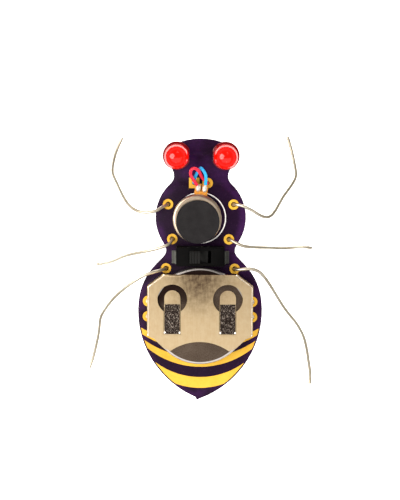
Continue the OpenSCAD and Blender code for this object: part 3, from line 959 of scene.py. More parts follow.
def smooth_route(points: Sequence[Vector], steps: int) -> list[Vector]:
    """Gives a smooth route through points.

    Args:
        points: The points to pass through.
        steps: How many steps there are from one to the next.

    Returns:
        The route.
    """
    last = len(points) - 1
    out = []
    for i in range(last):
        a, b = points[max(i - 1, 0)], points[i]
        c, d = points[i + 1], points[min(i + 2, last)]
        for k in range(steps):
            t = k / steps
            out.append(b + t / 2 * (c - a + t * (2 * a - 5 * b + 4 * c - d + t * (3 * (b - c) + d - a))))
    out.append(points[last])
    return out


def as_piece(name: str, mesh: bpy.types.Mesh, material: bpy.types.Material) -> bpy.types.Object:
    """Makes an object at the origin from a mesh and dresses it.

    Args:
        name: The piece's name.
        mesh: Its mesh, already in place.
        material: Its material.

    Returns:
        The object.
    """
    mesh.materials.clear()
    mesh.materials.append(material)
    piece = bpy.data.objects.new(name, mesh)
    bpy.context.scene.collection.objects.link(piece)
    return piece


def close_mesh(shape: bmesh.types.BMesh, name: str, sharp: float = 35.0) -> bpy.types.Mesh:
    """Turns an edit mesh into a shaded mesh with its faces outwards.

    Args:
        shape: The edit mesh, which is freed.
        name: The mesh's name.
        sharp: The angle in degrees past which an edge stays sharp.

    Returns:
        The mesh.
    """
    bmesh.ops.recalc_face_normals(shape, faces=shape.faces)
    mesh = bpy.data.meshes.new(name)
    shape.to_mesh(mesh)
    shape.free()
    mesh.shade_smooth()
    mesh.set_sharp_from_angle(angle=math.radians(sharp))
    return mesh


def add_lathe(
    shape: bmesh.types.BMesh, profile: Sequence[tuple[float, float]], centre: Vector, segments: int = 64
) -> None:
    """Adds a turned shape to an edit mesh.

    Args:
        shape: The edit mesh.
        profile: Radius and height pairs from one end of the axis to the other.
        centre: The axis's foot, which the heights count from.
        segments: How many steps there are round the axis.
    """
    rows = []
    for radius, height in profile:
        if radius < 1e-7:
            rows.append([shape.verts.new(centre + Vector((0, 0, height)))])
            continue
        row = []
        for k in range(segments):
            angle = 2 * math.pi * k / segments
            spot = Vector((radius * math.cos(angle), radius * math.sin(angle), height))
            row.append(shape.verts.new(centre + spot))
        rows.append(row)
    for low, high in zip(rows, rows[1:], strict=False):
        for k in range(segments):
            n = (k + 1) % segments
            if len(low) == 1 and len(high) == 1:
                break
            if len(low) == 1:
                shape.faces.new((low[0], high[k], high[n]))
            elif len(high) == 1:
                shape.faces.new((low[k], high[0], low[n]))
            else:
                shape.faces.new((low[k], high[k], high[n], low[n]))


def rounded(
    points: Sequence[tuple[float, float]], radii: Sequence[float], steps: int = 5
) -> list[tuple[float, float]]:
    """Rounds the corners of a profile.

    Args:
        points: The profile's corners.
        radii: A radius for each corner, 0 for a sharp one.
        steps: How many points go round a corner.

    Returns:
        The rounded profile.
    """
    out: list[tuple[float, float]] = []
    for i, (point, radius) in enumerate(zip(points, radii, strict=True)):
        if radius <= 0 or i in (0, len(points) - 1):
            out.append(point)
            continue
        corner = Vector(point)
        back = (Vector(points[i - 1]) - corner).normalized() * radius
        ahead = (Vector(points[i + 1]) - corner).normalized() * radius
        for k in range(steps + 1):
            t = k / steps
            spot = corner + (1 - t) ** 2 * back + t**2 * ahead
            out.append((spot.x, spot.y))
    return out


def refined(node: str, bevel: float, name: str, segments: int = 2) -> bpy.types.Mesh:
    """Makes a tidy copy of a CAD node's mesh with its edges softened.

    Args:
        node: The CAD node.
        bevel: The width of the softened edges.
        name: The new mesh's name.
        segments: How many steps go round an edge.

    Returns:
        The mesh.
    """
    shape = bmesh.new()
    shape.from_mesh(frame["nodes"][node].data)
    bmesh.ops.remove_doubles(shape, verts=shape.verts, dist=1e-6)
    if bevel > 0:
        bmesh.ops.dissolve_limit(
            shape, angle_limit=math.radians(1.0), verts=shape.verts, edges=shape.edges
        )
        sharp = [
            e for e in shape.edges if len(e.link_faces) == 2 and e.calc_face_angle(0) > math.radians(28)
        ]
        bmesh.ops.bevel(
            shape, geom=sharp, offset=bevel, segments=segments, affect="EDGES", clamp_overlap=True
        )
    return close_mesh(shape, name)


def polyline(name: str, routes: Iterable[Sequence[Vector]]) -> bpy.types.Mesh:
    """Makes a mesh of edges along routes.

    Args:
        name: The mesh's name.
        routes: The routes.

    Returns:
        The mesh.
    """
    points: list[Vector] = []
    edges: list[tuple[int, int]] = []
    for route in routes:
        first = len(points)
        points.extend(route)
        edges.extend((first + i, first + i + 1) for i in range(len(route) - 1))
    mesh = bpy.data.meshes.new(name)
    mesh.from_pydata([tuple(p) for p in points], edges, [])
    return mesh


def wire_along(
    name: str, routes: Sequence[Sequence[Vector]], radius: float, sides: int, material: bpy.types.Material
) -> bpy.types.Object:
    """Makes round wires along routes with a Geometry Nodes tree.

    Args:
        name: The piece's name.
        routes: Each wire's middle line.
        radius: Its radius.
        sides: How many sides it has.
        material: Its material.

    Returns:
        The wire.
    """
    rule = Rule(name + "_rule", Wire_radius=radius, Sides=sides)
    line = rule.node("GeometryNodeMeshToCurve", None, {"Mesh": rule.given()})
    circle = rule.node(
        "GeometryNodeCurvePrimitiveCircle",
        {"mode": "RADIUS"},
        {"Resolution": rule.given("Sides"), "Radius": rule.given("Wire radius")},
    )
    tube = rule.node(
        "GeometryNodeCurveToMesh", None, {"Curve": line, "Profile Curve": circle, "Fill Caps": True}
    )
    rule.finish(tube, material)
    piece = rule.run(name, polyline(name + "_line", routes))
    piece.data.set_sharp_from_angle(angle=math.radians(50))
    return piece


def clearly(piece: bpy.types.Object, body: str, slot: str, *nodes: str) -> bpy.types.Object:
    """Puts a finished piece on its body, logs its slot and hides what it stands for.

    Args:
        piece: The piece.
        body: The CAD body that it rides on.
        slot: The record's material slot.
        nodes: The CAD nodes that it replaces.

    Returns:
        The piece.
    """
    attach(piece, body)
    if nodes:
        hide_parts(*nodes)
    LOG.info("%s rides on %s in %s", piece.name, body, slot)
    return piece


# ------------------------------------------------------------------ studio


@dataclass
class Studio:
    """The camera, the lights and the floor."""

    distance: float = 0.35
    tilt: float = 5.9
    roll: float = 0.43
    field: float = 82.6 * MM
    aim_x: float = -0.1 * MM
    aim_y: float = 3.9 * MM
    sensor: float = 36.0
    overhead: float = 0.12
    box_glow: float = 1.15
    wall_glow: float = 0.4
    table_glow: float = 4.0

    def build(self) -> None:
        """Sets up the whole studio."""
        self.camera()
        self.surroundings()
        self.lights()
        self.floor()
        bpy.context.scene.view_settings.view_transform = "Standard"

    def camera(self) -> None:
        """Makes the camera, which looks down with the head at the top of the picture."""
        tilt, roll = math.radians(self.tilt), math.radians(self.roll)
        aim = Vector((self.aim_x, self.aim_y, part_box("circuit_board")[1].z))
        back = Vector((0, math.sin(tilt), math.cos(tilt)))
        up = Vector((0, math.cos(tilt), -math.sin(tilt)))
        right = Vector((1, 0, 0))
        turned_right = right * math.cos(roll) + up * math.sin(roll)
        turned_up = up * math.cos(roll) - right * math.sin(roll)
        data = bpy.data.cameras.new("camera")
        data.sensor_fit = "HORIZONTAL"
        data.sensor_width = self.sensor
        data.lens = self.sensor * self.distance / self.field
        data.clip_start = 0.01
        eye = bpy.data.objects.new("camera", data)
        turn = Matrix((turned_right, turned_up, back)).transposed().to_4x4()
        eye.matrix_world = Matrix.Translation(aim + back * self.distance) @ turn
        bpy.context.scene.collection.objects.link(eye)
        bpy.context.scene.camera = eye

    def surroundings(self) -> None:
        """Makes the room: dark overhead, a soft box over the tail, pale walls and a lit table."""
        world = bpy.data.worlds.new("surroundings")
        world.use_nodes = True
        bpy.context.scene.world = world
        world.node_tree.nodes.clear()
        room = Shader.in_tree(world.node_tree)
        x, y, z = room.xyz(room.node("ShaderNodeTexCoord", output="Generated"))
        height = room.maths("MAXIMUM", z, 0.02)
        lean = -y / height
        aside = room.maths("ABSOLUTE", x) / height
        near, far = room.smooth(lean, 0.06, 0.19), room.fade(lean, 1.0, 1.7)
        soft_box = near * far * room.fade(aside, 0.9, 1.5) * room.smooth(z, 0.0, 0.2)
        walls = room.fade(z, 0.15, 0.5) * room.smooth(z, -0.2, 0.0)
        table = room.fade(z, -0.52, -0.36) * room.smooth(z, -0.9, -0.76)
        glow = self.box_glow * soft_box + self.wall_glow * walls + self.table_glow * table
        light = self.overhead + glow
        warm = (1.0, 0.985, 0.96, 1.0)
        shade = room.node("ShaderNodeBackground", None, {"Color": warm, "Strength": light})
        end = world.node_tree.nodes.new("ShaderNodeOutputWorld")
        world.node_tree.links.new(shade.socket, end.inputs["Surface"])

    def lights(self) -> None:
        """Makes the key light that shows in the eyes, and the fill lights that don't."""
        self.soft_light("key", (-0.36, 0.085, 0.42), 0.46, 4.2, (1.0, 0.97, 0.93), True)
        self.soft_light("tail_fill", (0.06, -0.38, 0.34), 0.30, 2.4, (1.0, 0.95, 0.88), False)
        self.soft_light("head_fill", (0.12, 0.38, 0.36), 0.26, 1.6, (1.0, 0.98, 0.96), False)
        self.soft_light("right_fill", (0.42, 0.0, 0.26), 0.22, 1.2, (1.0, 0.98, 0.95), False)

    @staticmethod
    def soft_light(
        name: str, place: Point, size: float, power: float, colour: Colour, shows: bool
    ) -> None:
        """Makes one round soft light that faces the object.

        Args:
            name: The light's name.
            place: Its place.
            size: Its diameter.
            power: Its power in watts.
            colour: Its colour.
            shows: Whether glossy surfaces mirror it.
        """
        data = bpy.data.lights.new(name, "AREA")
        data.shape = "DISK"
        data.size = size
        data.energy = power
        data.color = colour
        lamp = bpy.data.objects.new(name, data)
        lamp.visible_glossy = shows
        lamp.location = place
        aim = Vector((0, 0, 0.01))
        lamp.rotation_euler = (aim - Vector(place)).to_track_quat("-Z", "Y").to_euler()
        bpy.context.scene.collection.objects.link(lamp)

    @staticmethod
    def floor() -> None:
        """Makes the pale floor, lit from below as a light table is."""
        shape = bmesh.new()
        bmesh.ops.create_grid(shape, x_segments=2, y_segments=2, size=1.5)
        mesh = close_mesh(shape, "floor")
        shader = Shader("pale_floor")
        soft = shader.grain(shader.place(), 40.0)
        shader.set(
            Base_Color=shader.mix(0.3 * soft, (0.94, 0.94, 0.94), (0.90, 0.90, 0.90)),
            Roughness=0.8,
            Emission_Color=(1.0, 1.0, 1.0),
            Emission_Strength=0.85,
        )
        floor = as_piece("floor", mesh, shader.material)
        if floor.data.polygons[0].normal.z < 0:
            floor.data.flip_normals()
        floor.visible_glossy = False


# ------------------------------------------------------------------ board


@dataclass
class Board:
    """The insect-shaped circuit board, with its copper and its printed ring."""

    wardrobe: Wardrobe
    tail_tip: tuple[float, float] = (-0.53, -27.549)
    tail_notch: tuple[float, float] = (-0.85, -26.93)
    tail_root: tuple[float, float] = (0.15, -27.2)
    belly: tuple[float, float] = (12.84, -8.8)
    hip: tuple[float, float] = (8.37, 1.65)
    waist: tuple[float, float] = (7.09, 3.76)
    chest: tuple[float, float] = (0, 10.66)
    chest_r: float = 9.32
    neck: tuple[float, float] = (5.58, 19.16)
    head: tuple[float, float] = (0, 23)
    head_radii: tuple[float, float] = (7.45, 3.85)
    jaw_angle: float = -31.3
    edge: float = 0.12 * MM
    leg_holes: tuple[tuple[float, float], ...] = ((6.75, 13.35), (5.85, 6.15), (7.1, 0.05))
    retainer_holes: tuple[tuple[float, float], ...] = ((10.75, -6.8), (10.75, -10.0))
    led_holes: tuple[tuple[float, float], ...] = ((3.73, 23.4), (6.27, 23.4))
    switch_holes: tuple[tuple[float, float], ...] = ((-2.5, 2.85), (0.0, 2.85), (2.5, 2.85))
    lead_holes: tuple[tuple[float, float], ...] = ((-1.4, 17.75), (1.35, 17.75))
    lead_hole_r: float = 0.42
    plating: float = 0.05 * MM
    ring_centre: tuple[float, float] = (-0.08, 10.56)
    ring_r: float = 5.2 * MM
    ring_w: float = 0.23 * MM
    ring_thick: float = 0.03 * MM

    def outline(self) -> list[Vector]:
        """Gives the board's outline, which the same curves in the frame's source draw.

        Returns:
            The outline in metres, from the root of the tail's tip anticlockwise.
        """
        v = Vector
        chest, head, neck = v(self.chest), v(self.head), v(self.neck)
        low_turn, high_turn = math.radians(-27.5), math.radians(47)
        low = chest + self.chest_r * v((math.cos(low_turn), math.sin(low_turn)))
        high = chest + self.chest_r * v((math.cos(high_turn), math.sin(high_turn)))
        jaw_turn = math.radians(self.jaw_angle)
        rx, ry = self.head_radii
        jaw = head + v((rx * math.cos(jaw_turn), ry * math.sin(jaw_turn)))
        root, belly, hip, waist = v(self.tail_root), v(self.belly), v(self.hip), v(self.waist)
        half = bezier(root, v((7.3, -24.5)), v((12.84, -17.35)), belly, 24)
        half += bezier(belly, v((12.84, -4.46)), v((11.63, -1.5)), hip, 16)
        half += bezier(hip, v((7.72, 2.28)), v((7.09, 2.95)), waist, 8)
        half += bezier(waist, v((7.09, 4.6)), low - v((0.46, 0.89)), low, 8)
        half += ellipse_arc(chest, (self.chest_r, self.chest_r), -27.5, 47, 24)
        half += bezier(high, high + 0.6 * v((-0.73, 0.68)), v((5.58, 18.5)), neck, 8)
        half += bezier(neck, v((5.58, 19.8)), jaw - 0.7 * v((0.76, 0.65)), jaw, 8)
        half += ellipse_arc(head, self.head_radii, self.jaw_angle, 90, 24)
        top = [head + v((0, ry))]
        mirrored = [v((-p.x, p.y)) for p in reversed(half[1:])]
        tip = [v(self.tail_notch), v(self.tail_tip)]
        return [p * MM for p in half + top + mirrored + tip]

    def both_sides(self, holes: Iterable[tuple[float, float]]) -> list[tuple[float, float]]:
        """Gives holes with their mirror images."""
        return [(side * x, y) for x, y in holes for side in (1, -1)]

    def build(self) -> None:
        """Makes the board, the plated holes, the pads and the printed ring."""
        self.slab()
        for node, (places, hole_r, ring_r) in self.holes().items():
            self.plated_holes(node, places, hole_r * MM, ring_r * MM)
        self.lead_pads()
        self.flat_copper("tail_stripes", "gold_stripes")
        self.flat_copper("cell_contact_pad", "cell_pad")
        self.printed_ring()

    def holes(self) -> dict[str, tuple[list[tuple[float, float]], float, float]]:
        """Lists the plated holes by their CAD node.

        Returns:
            For each node its places, the hole's radius and the ring's radius, in millimetres.
        """
        return {
            "leg_eyelets": (self.both_sides(self.leg_holes), 0.5, 1.07),
            "retainer_eyelets": (self.both_sides(self.retainer_holes), 0.52, 1.12),
            "led_eyelets": (self.both_sides(self.led_holes), 0.45, 0.8),
            "switch_eyelets": (list(self.switch_holes), 0.45, 0.85),
        }

    def slab(self) -> None:
        """Makes the board itself, with drilled holes and softened edges."""
        low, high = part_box("circuit_board")
        flat = bpy.data.curves.new("board_outline", "CURVE")
        flat.dimensions = "2D"
        flat.fill_mode = "BOTH"
        flat.extrude = (high.z - low.z) / 2 - self.edge
        flat.bevel_depth = self.edge
        flat.bevel_resolution = 2
        flat.offset = -self.edge
        self._loop(flat, self.outline())
        holes = [(p, hole_r) for places, hole_r, _ in self.holes().values() for p in places]
        holes += [(p, self.lead_hole_r) for p in self.lead_holes]
        for (x, y), radius in holes:
            centre = Vector((x, y)) * MM
            reach = radius * MM + self.plating - self.edge
            self._loop(flat, list(reversed(ellipse_arc(centre, (reach, reach), 0, 360, 24))))
        source = bpy.data.objects.new("board_outline", flat)
        bpy.context.scene.collection.objects.link(source)
        mesh = bpy.data.meshes.new_from_object(
            source.evaluated_get(bpy.context.evaluated_depsgraph_get())
        )
        bpy.data.objects.remove(source)
        shape = bmesh.new()
        shape.from_mesh(mesh)
        bmesh.ops.remove_doubles(shape, verts=shape.verts, dist=1e-6)
        bmesh.ops.translate(shape, verts=shape.verts, vec=(0, 0, (low.z + high.z) / 2))
        board = as_piece(
            "board_slab", close_mesh(shape, "board_slab"), self.wardrobe.material("purple_board")
        )
        clearly(board, ROBOT, "purple_board", "circuit_board")

    @staticmethod
    def _loop(flat: bpy.types.Curve, points: Sequence[Vector]) -> None:
        """Adds a closed loop to a flat curve.

        Args:
            flat: The curve.
            points: The loop's points.
        """
        spline = flat.splines.new("POLY")
        spline.points.add(len(points) - 1)
        for spot, point in zip(spline.points, points, strict=True):
            spot.co = (point.x, point.y, 0.0, 1.0)
        spline.use_cyclic_u = True

    def plated_holes(
        self, node: str, places: Sequence[tuple[float, float]], hole_r: float, ring_r: float
    ) -> None:
        """Makes a group of plated holes: a ring on each face and the barrel between them.

        Args:
            node: The CAD node that they replace.
            places: Where the holes are, in millimetres.
            hole_r: The hole's radius.
            ring_r: The ring's outer radius.
        """
        low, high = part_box(node)
        board_low, board_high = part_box("circuit_board")
        copper = high.z - board_high.z
        rule = Rule(
            node + "_rule",
            Ring_middle=(ring_r + hole_r) / 2,
            Ring_width=ring_r - hole_r,
            Barrel_middle=hole_r + self.plating / 2,
            Barrel_wall=self.plating,
            Barrel_height=high.z - low.z,
            Copper=copper,
        )
        upper = self._band(rule, "Ring middle", "Ring width", "Copper", high.z - copper / 2)
        lower = self._band(rule, "Ring middle", "Ring width", "Copper", board_low.z - copper / 2)
        barrel = self._band(rule, "Barrel middle", "Barrel wall", "Barrel height", (low.z + high.z) / 2)
        whole = rule.node("GeometryNodeJoinGeometry", None, {"Geometry": [upper, lower, barrel]})
        spots = rule.node(
            "GeometryNodeInstanceOnPoints", None, {"Points": rule.given(), "Instance": whole}
        )
        rule.finish(spots, self.wardrobe.material("gold_plating"))
        points = bpy.data.meshes.new(node + "_points")
        points.from_pydata([(x * MM, y * MM, 0.0) for x, y in places], [], [])
        piece = rule.run(node + "_rings", points)
        piece.data.set_sharp_from_angle(angle=math.radians(40))
        clearly(piece, ROBOT, "gold_plating", node)

    @staticmethod
    def _band(rule: Rule, radius: str, width: str, height: str, z: float) -> Wire:
        """Makes a round band with softened edges inside a tree.

        Args:
            rule: The tree.
            radius: The input that holds its middle radius.
            width: The input that holds its width, outwards.
            height: The input that holds its height.
            z: The height of its middle.

        Returns:
            The band.
        """
        circle = rule.node(
            "GeometryNodeCurvePrimitiveCircle",
            {"mode": "RADIUS"},
            {"Resolution": 40, "Radius": rule.given(radius)},
        )
        outline = rule.node(
            "GeometryNodeCurvePrimitiveQuadrilateral",
            {"mode": "RECTANGLE"},
            {"Width": rule.given(width), "Height": rule.given(height)},
        )
        soft = rule.node(
            "GeometryNodeFilletCurve",
            None,
            {"Curve": outline, "Radius": 0.3 * rule.given("Copper"), "Limit Radius": True},
        )
        band = rule.node("GeometryNodeCurveToMesh", None, {"Curve": circle, "Profile Curve": soft})
        return rule.node("GeometryNodeTransform", None, {"Geometry": band, "Translation": (0.0, 0.0, z)})

    def lead_pads(self) -> None:
        """Makes the square and the round pad of the motor's leads."""
        mesh = refined("motor_lead_pads", 0, "lead_pads")
        pads = as_piece("lead_pads", mesh, self.wardrobe.material("gold_plating"))
        clearly(pads, ROBOT, "gold_plating", "motor_lead_pads")

    def flat_copper(self, node: str, name: str) -> None:
        """Softens the edges of a bare copper area.

        Args:
            node: The CAD node.
            name: The piece's name.
        """
        piece = as_piece(name, refined(node, 0.015 * MM, name), self.wardrobe.material("gold_plating"))
        clearly(piece, ROBOT, "gold_plating", node)

    def printed_ring(self) -> None:
        """Makes the printed ring that marks the motor's place."""
        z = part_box("circuit_board")[1].z
        inner, outer = self.ring_r - self.ring_w / 2, self.ring_r + self.ring_w / 2
        thick = self.ring_thick
        lip = 0.3 * thick
        profile = [
            (inner, 0), (inner, thick - lip), (inner + lip, thick), (outer - lip, thick),
            (outer, thick - lip), (outer, 0), (inner, 0),
        ]
        shape = bmesh.new()
        add_lathe(shape, profile, Vector((self.ring_centre[0] * MM, self.ring_centre[1] * MM, z)), 96)
        bmesh.ops.remove_doubles(shape, verts=shape.verts, dist=1e-7)
        mesh = close_mesh(shape, "printed_ring")
        ring = as_piece("printed_ring", mesh, self.wardrobe.material("tape_white"))
        clearly(ring, ROBOT, "tape_white")


# ------------------------------------------------------------------ motor


@dataclass
class Motor:
    """The coin vibration motor, its foam disc, flexible tail and leads."""

    wardrobe: Wardrobe
    turn: float = math.radians(-7.5)
    shoulder: float = 0.45 * MM
    wall: float = 0.25 * MM
    dish: float = 0.04 * MM
    foam_rim: float = 0.14 * MM
    dome_spread: float = 0.66 * MM
    dome_y: float = 6.2 * MM
    dome_radii: tuple[float, float] = (0.49, 0.78)
    lead_r: float = 0.33 * MM
    strand_r: float = 0.2 * MM
    red_route: tuple[Point, ...] = (
        (-0.6, 16.7, 1.1), (-0.8, 17.3, 1.3), (-1.4, 18.3, 2), (-2.1, 19.5, 2.7), (-2, 20.6, 3.3),
        (-1.3, 20.95, 3.5), (-0.5, 20.4, 3.2), (0.3, 18.9, 1.4), (0.95, 18.1, 0.6),
        (1.35, 17.75, -0.2), (1.35, 17.75, -2.2),
    )
    blue_route: tuple[Point, ...] = (
        (0.6, 16.6, 1.1), (0.9, 17.4, 1.4), (1, 18.8, 2.2), (0.8, 19.9, 2.7), (0, 20.95, 2.7),
        (-0.4, 20.4, 2.1), (-0.85, 19.85, 1.7), (-1.25, 18.9, 1.1), (-1.45, 18, 0.6),
        (-1.4, 17.75, -0.3), (-1.4, 17.75, -2.2),
    )

    def build(self) -> None:
        """Makes every visible piece of the motor."""
        self.can()
        self.foam_disc()
        self.tail()
        self.tail_domes()
        self.lead("red_lead", self.red_route, "red_insulation")
        self.lead("blue_lead", self.blue_route, "blue_insulation")

    def can(self) -> None:
        """Makes the drawn can, with a rounded shoulder and a pressed ring on top."""
        low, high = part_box("motor_can")
        radius, height = (high.x - low.x) / 2, high.z - low.z
        dish, wall = height - self.dish, self.wall
        corners = [
            (0, dish), (radius * 0.80, dish), (radius * 0.83, height), (radius, height),
            (radius, 0.12 * MM), (radius - 0.06 * MM, 0), (radius - wall, 0),
            (radius - wall, height - wall), (0, height - wall),
        ]
        radii = [0, 0.1 * MM, 0.1 * MM, self.shoulder, 0.05 * MM, 0, 0, 0.1 * MM, 0]
        shape = bmesh.new()
        centre = middle("motor_can")
        add_lathe(shape, rounded(corners, radii, 6), Vector((centre.x, centre.y, low.z)), 128)
        can = as_piece("motor_cup", close_mesh(shape, "motor_cup"), self.wardrobe.material("motor_steel"))
        clearly(can, ROBOT, "motor_steel", "motor_can")

    def foam_disc(self) -> None:
        """Makes the foam disc, soft at its rim and slightly uneven on top."""
        low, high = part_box("motor_foam_disc")
        radius, height = (high.x - low.x) / 2, high.z - low.z
        soft = self.foam_rim
        flat_r, steps = radius - 4 * soft, 26
        rim = rounded([(radius, 0), (radius, height), (flat_r, height)], [0, soft, 0], 5)
        top = [flat_r * (1 - i / steps) for i in range(1, steps + 1)]
        profile = [(0.0, 0.0), *rim, *[(r, height) for r in top]]
        centre = middle("motor_foam_disc")
        shape = bmesh.new()
        add_lathe(shape, profile, Vector((centre.x, centre.y, low.z)), 128)
        for vert in shape.verts:
            if vert.co.z > high.z - 0.5 * soft:
                vert.co.z -= 0.035 * MM * (0.5 + 0.5 * noise.noise(vert.co * 900))
        mesh = close_mesh(shape, "foam_disc", 60)
        disc = as_piece("foam_disc", mesh, self.wardrobe.material("black_foam"))
        clearly(disc, ROBOT, "black_foam", "motor_foam_disc")

    def tail(self) -> None:
        """Softens the edges of the flexible tail."""
        mesh = refined("motor_flex_tail", 0.02 * MM, "flex_tail")
        piece = as_piece("flex_tail", mesh, self.wardrobe.material("amber_film"))
        clearly(piece, ROBOT, "amber_film", "motor_flex_tail")

    def tail_domes(self) -> None:
        """Makes the two uneven domes of solder on the tail."""
        low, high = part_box("tail_solder")
        centre = middle("motor_can")
        turned = Matrix.Rotation(self.turn, 3, "Z")
        shape = bmesh.new()
        for side in (-1, 1):
            place = turned @ Vector((side * self.dome_spread, self.dome_y, 0))
            ball = bmesh.ops.create_uvsphere(shape, u_segments=28, v_segments=18, radius=1.0)
            for vert in ball["verts"]:
                lump = 1 + 0.07 * noise.noise(vert.co * 1.6 + Vector((side * 3.0, 0, 0)))
                wide, long = self.dome_radii
                spot = Vector((vert.co.x * wide * MM, vert.co.y * long * MM, 0)) * lump
                height = max(vert.co.z, -0.05) * (high.z - low.z) * lump
                spot = turned @ spot
                vert.co = Vector((centre.x + place.x + spot.x, centre.y + place.y + spot.y, low.z + height))
        mesh = close_mesh(shape, "tail_domes", 70)
        domes = as_piece("tail_domes", mesh, self.wardrobe.material("solder"))
        clearly(domes, ROBOT, "solder", "tail_solder")

    def lead(self, node: str, route: Sequence[Point], slot: str) -> None:
        """Makes one insulated lead along its route.

        Args:
            node: The CAD node that it replaces.
            route: Its points: x, y and the height above the board, in millimetres.
            slot: Its material slot.
        """
        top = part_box("circuit_board")[1].z
        points = [Vector((x * MM, y * MM, z * MM + top)) for x, y, z in route]
        line = smooth_route(points, 8)
        start, end = 9, 4
        cover = wire_along(node + "_cover", [line[start:-end]], self.lead_r, 20, self.wardrobe.material(slot))
        clearly(cover, ROBOT, slot, node)
        bare = [line[: start + 2], line[-end - 2 :]]
        strands = wire_along(node + "_strands", bare, self.strand_r, 16, self.wardrobe.material("solder"))
        clearly(strands, ROBOT, "solder", node)


# ------------------------------------------------------------------ eyes


@dataclass
class Eye:
    """One LED: its cast lens over the posts, die and bond wire."""

    wardrobe: Wardrobe
    node: str
    lens_r: float = 2.5 * MM
    flange_r: float = 2.9 * MM
    flange_h: float = 1.0 * MM
    spacing: float = 5.0 * MM

    def build(self) -> None:
        """Makes the lens: a straight body, a dome, and a flange that is cut flat inside the node's box."""
        low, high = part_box(self.node)
        height = high.z - low.z
        side = math.copysign(self.spacing, low.x + high.x)
        centre = Vector((side, (low.y + high.y) / 2, low.z))
        body_h = height - self.lens_r
        corners = [
            (0, 0), (self.flange_r, 0), (self.flange_r, self.flange_h), (self.lens_r, self.flange_h),
            (self.lens_r, body_h),
        ]
        profile = rounded(corners, [0, 0.1 * MM, 0.15 * MM, 0.12 * MM, 0], 4)
        steps = 16
        for k in range(1, steps + 1):
            angle = math.pi / 2 * k / steps
            radius = 0.0 if k == steps else self.lens_r * math.cos(angle)
            profile.append((radius, body_h + self.lens_r * math.sin(angle)))
        shape = bmesh.new()
        add_lathe(shape, profile, centre, 80)
        for vert in shape.verts:
            vert.co.x = min(max(vert.co.x, low.x), high.x)
        name = self.node.replace("led_lens", "eye")
        lens = as_piece(name, close_mesh(shape, name, 40), self.wardrobe.material("red_lens"))
        clearly(lens, ROBOT, "red_lens", self.node)


# ------------------------------------------------------------------ switch


@dataclass
class SlideSwitch:
    """The slide switch: housing, ribbed lever, base and folded tabs."""

    wardrobe: Wardrobe
    soft: float = 0.09 * MM

    def build(self) -> None:
        """Makes the switch's visible pieces."""
        plan = (
            ("switch_housing", "switch_cover", "black_nylon", ROBOT, self.soft),
            ("switch_base", "switch_foot", "black_nylon", ROBOT, self.soft),
            ("switch_lever", "switch_knob", "lever_plastic", "switch_slider", 0.06 * MM),
            # The tabs' tin is painted dark as shade.
            ("switch_ears", "switch_tabs", "dull_tin", ROBOT, 0.06 * MM),
            ("switch_terminals", "switch_pins", "tinned_wire", ROBOT, 0.04 * MM),
        )
        for node, name, slot, body, bevel in plan:
            piece = as_piece(name, refined(node, bevel, name, 3), self.wardrobe.material(slot))
            clearly(piece, body, "tinned_wire" if slot == "dull_tin" else slot, node)


# ------------------------------------------------------------------ cell and retainer


@dataclass
class CoinCell:
    """The coin cell's can, with its drawn edge."""

    wardrobe: Wardrobe

    def build(self) -> None:
        """Makes the can."""
        low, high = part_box("cell_can")
        radius, height = (high.x - low.x) / 2, high.z - low.z
        wall, lip_r = 0.25 * MM, 9.0 * MM
        corners = [
            (0, height - wall), (radius - wall, height - wall), (radius - wall, wall), (lip_r, wall),
            (lip_r, 0), (radius, 0), (radius, height), (0, height),
        ]
        radii = [0, 0.1 * MM, 0, 0, 0.05 * MM, 0.3 * MM, 0.35 * MM, 0]
        shape = bmesh.new()
        centre = middle("cell_can")
        add_lathe(shape, rounded(corners, radii, 6), Vector((centre.x, centre.y, low.z)), 160)
        can = as_piece("cell_cup", close_mesh(shape, "cell_cup", 50), self.wardrobe.material("cell_steel"))
        clearly(can, "coin_cell", "cell_steel", "cell_can")


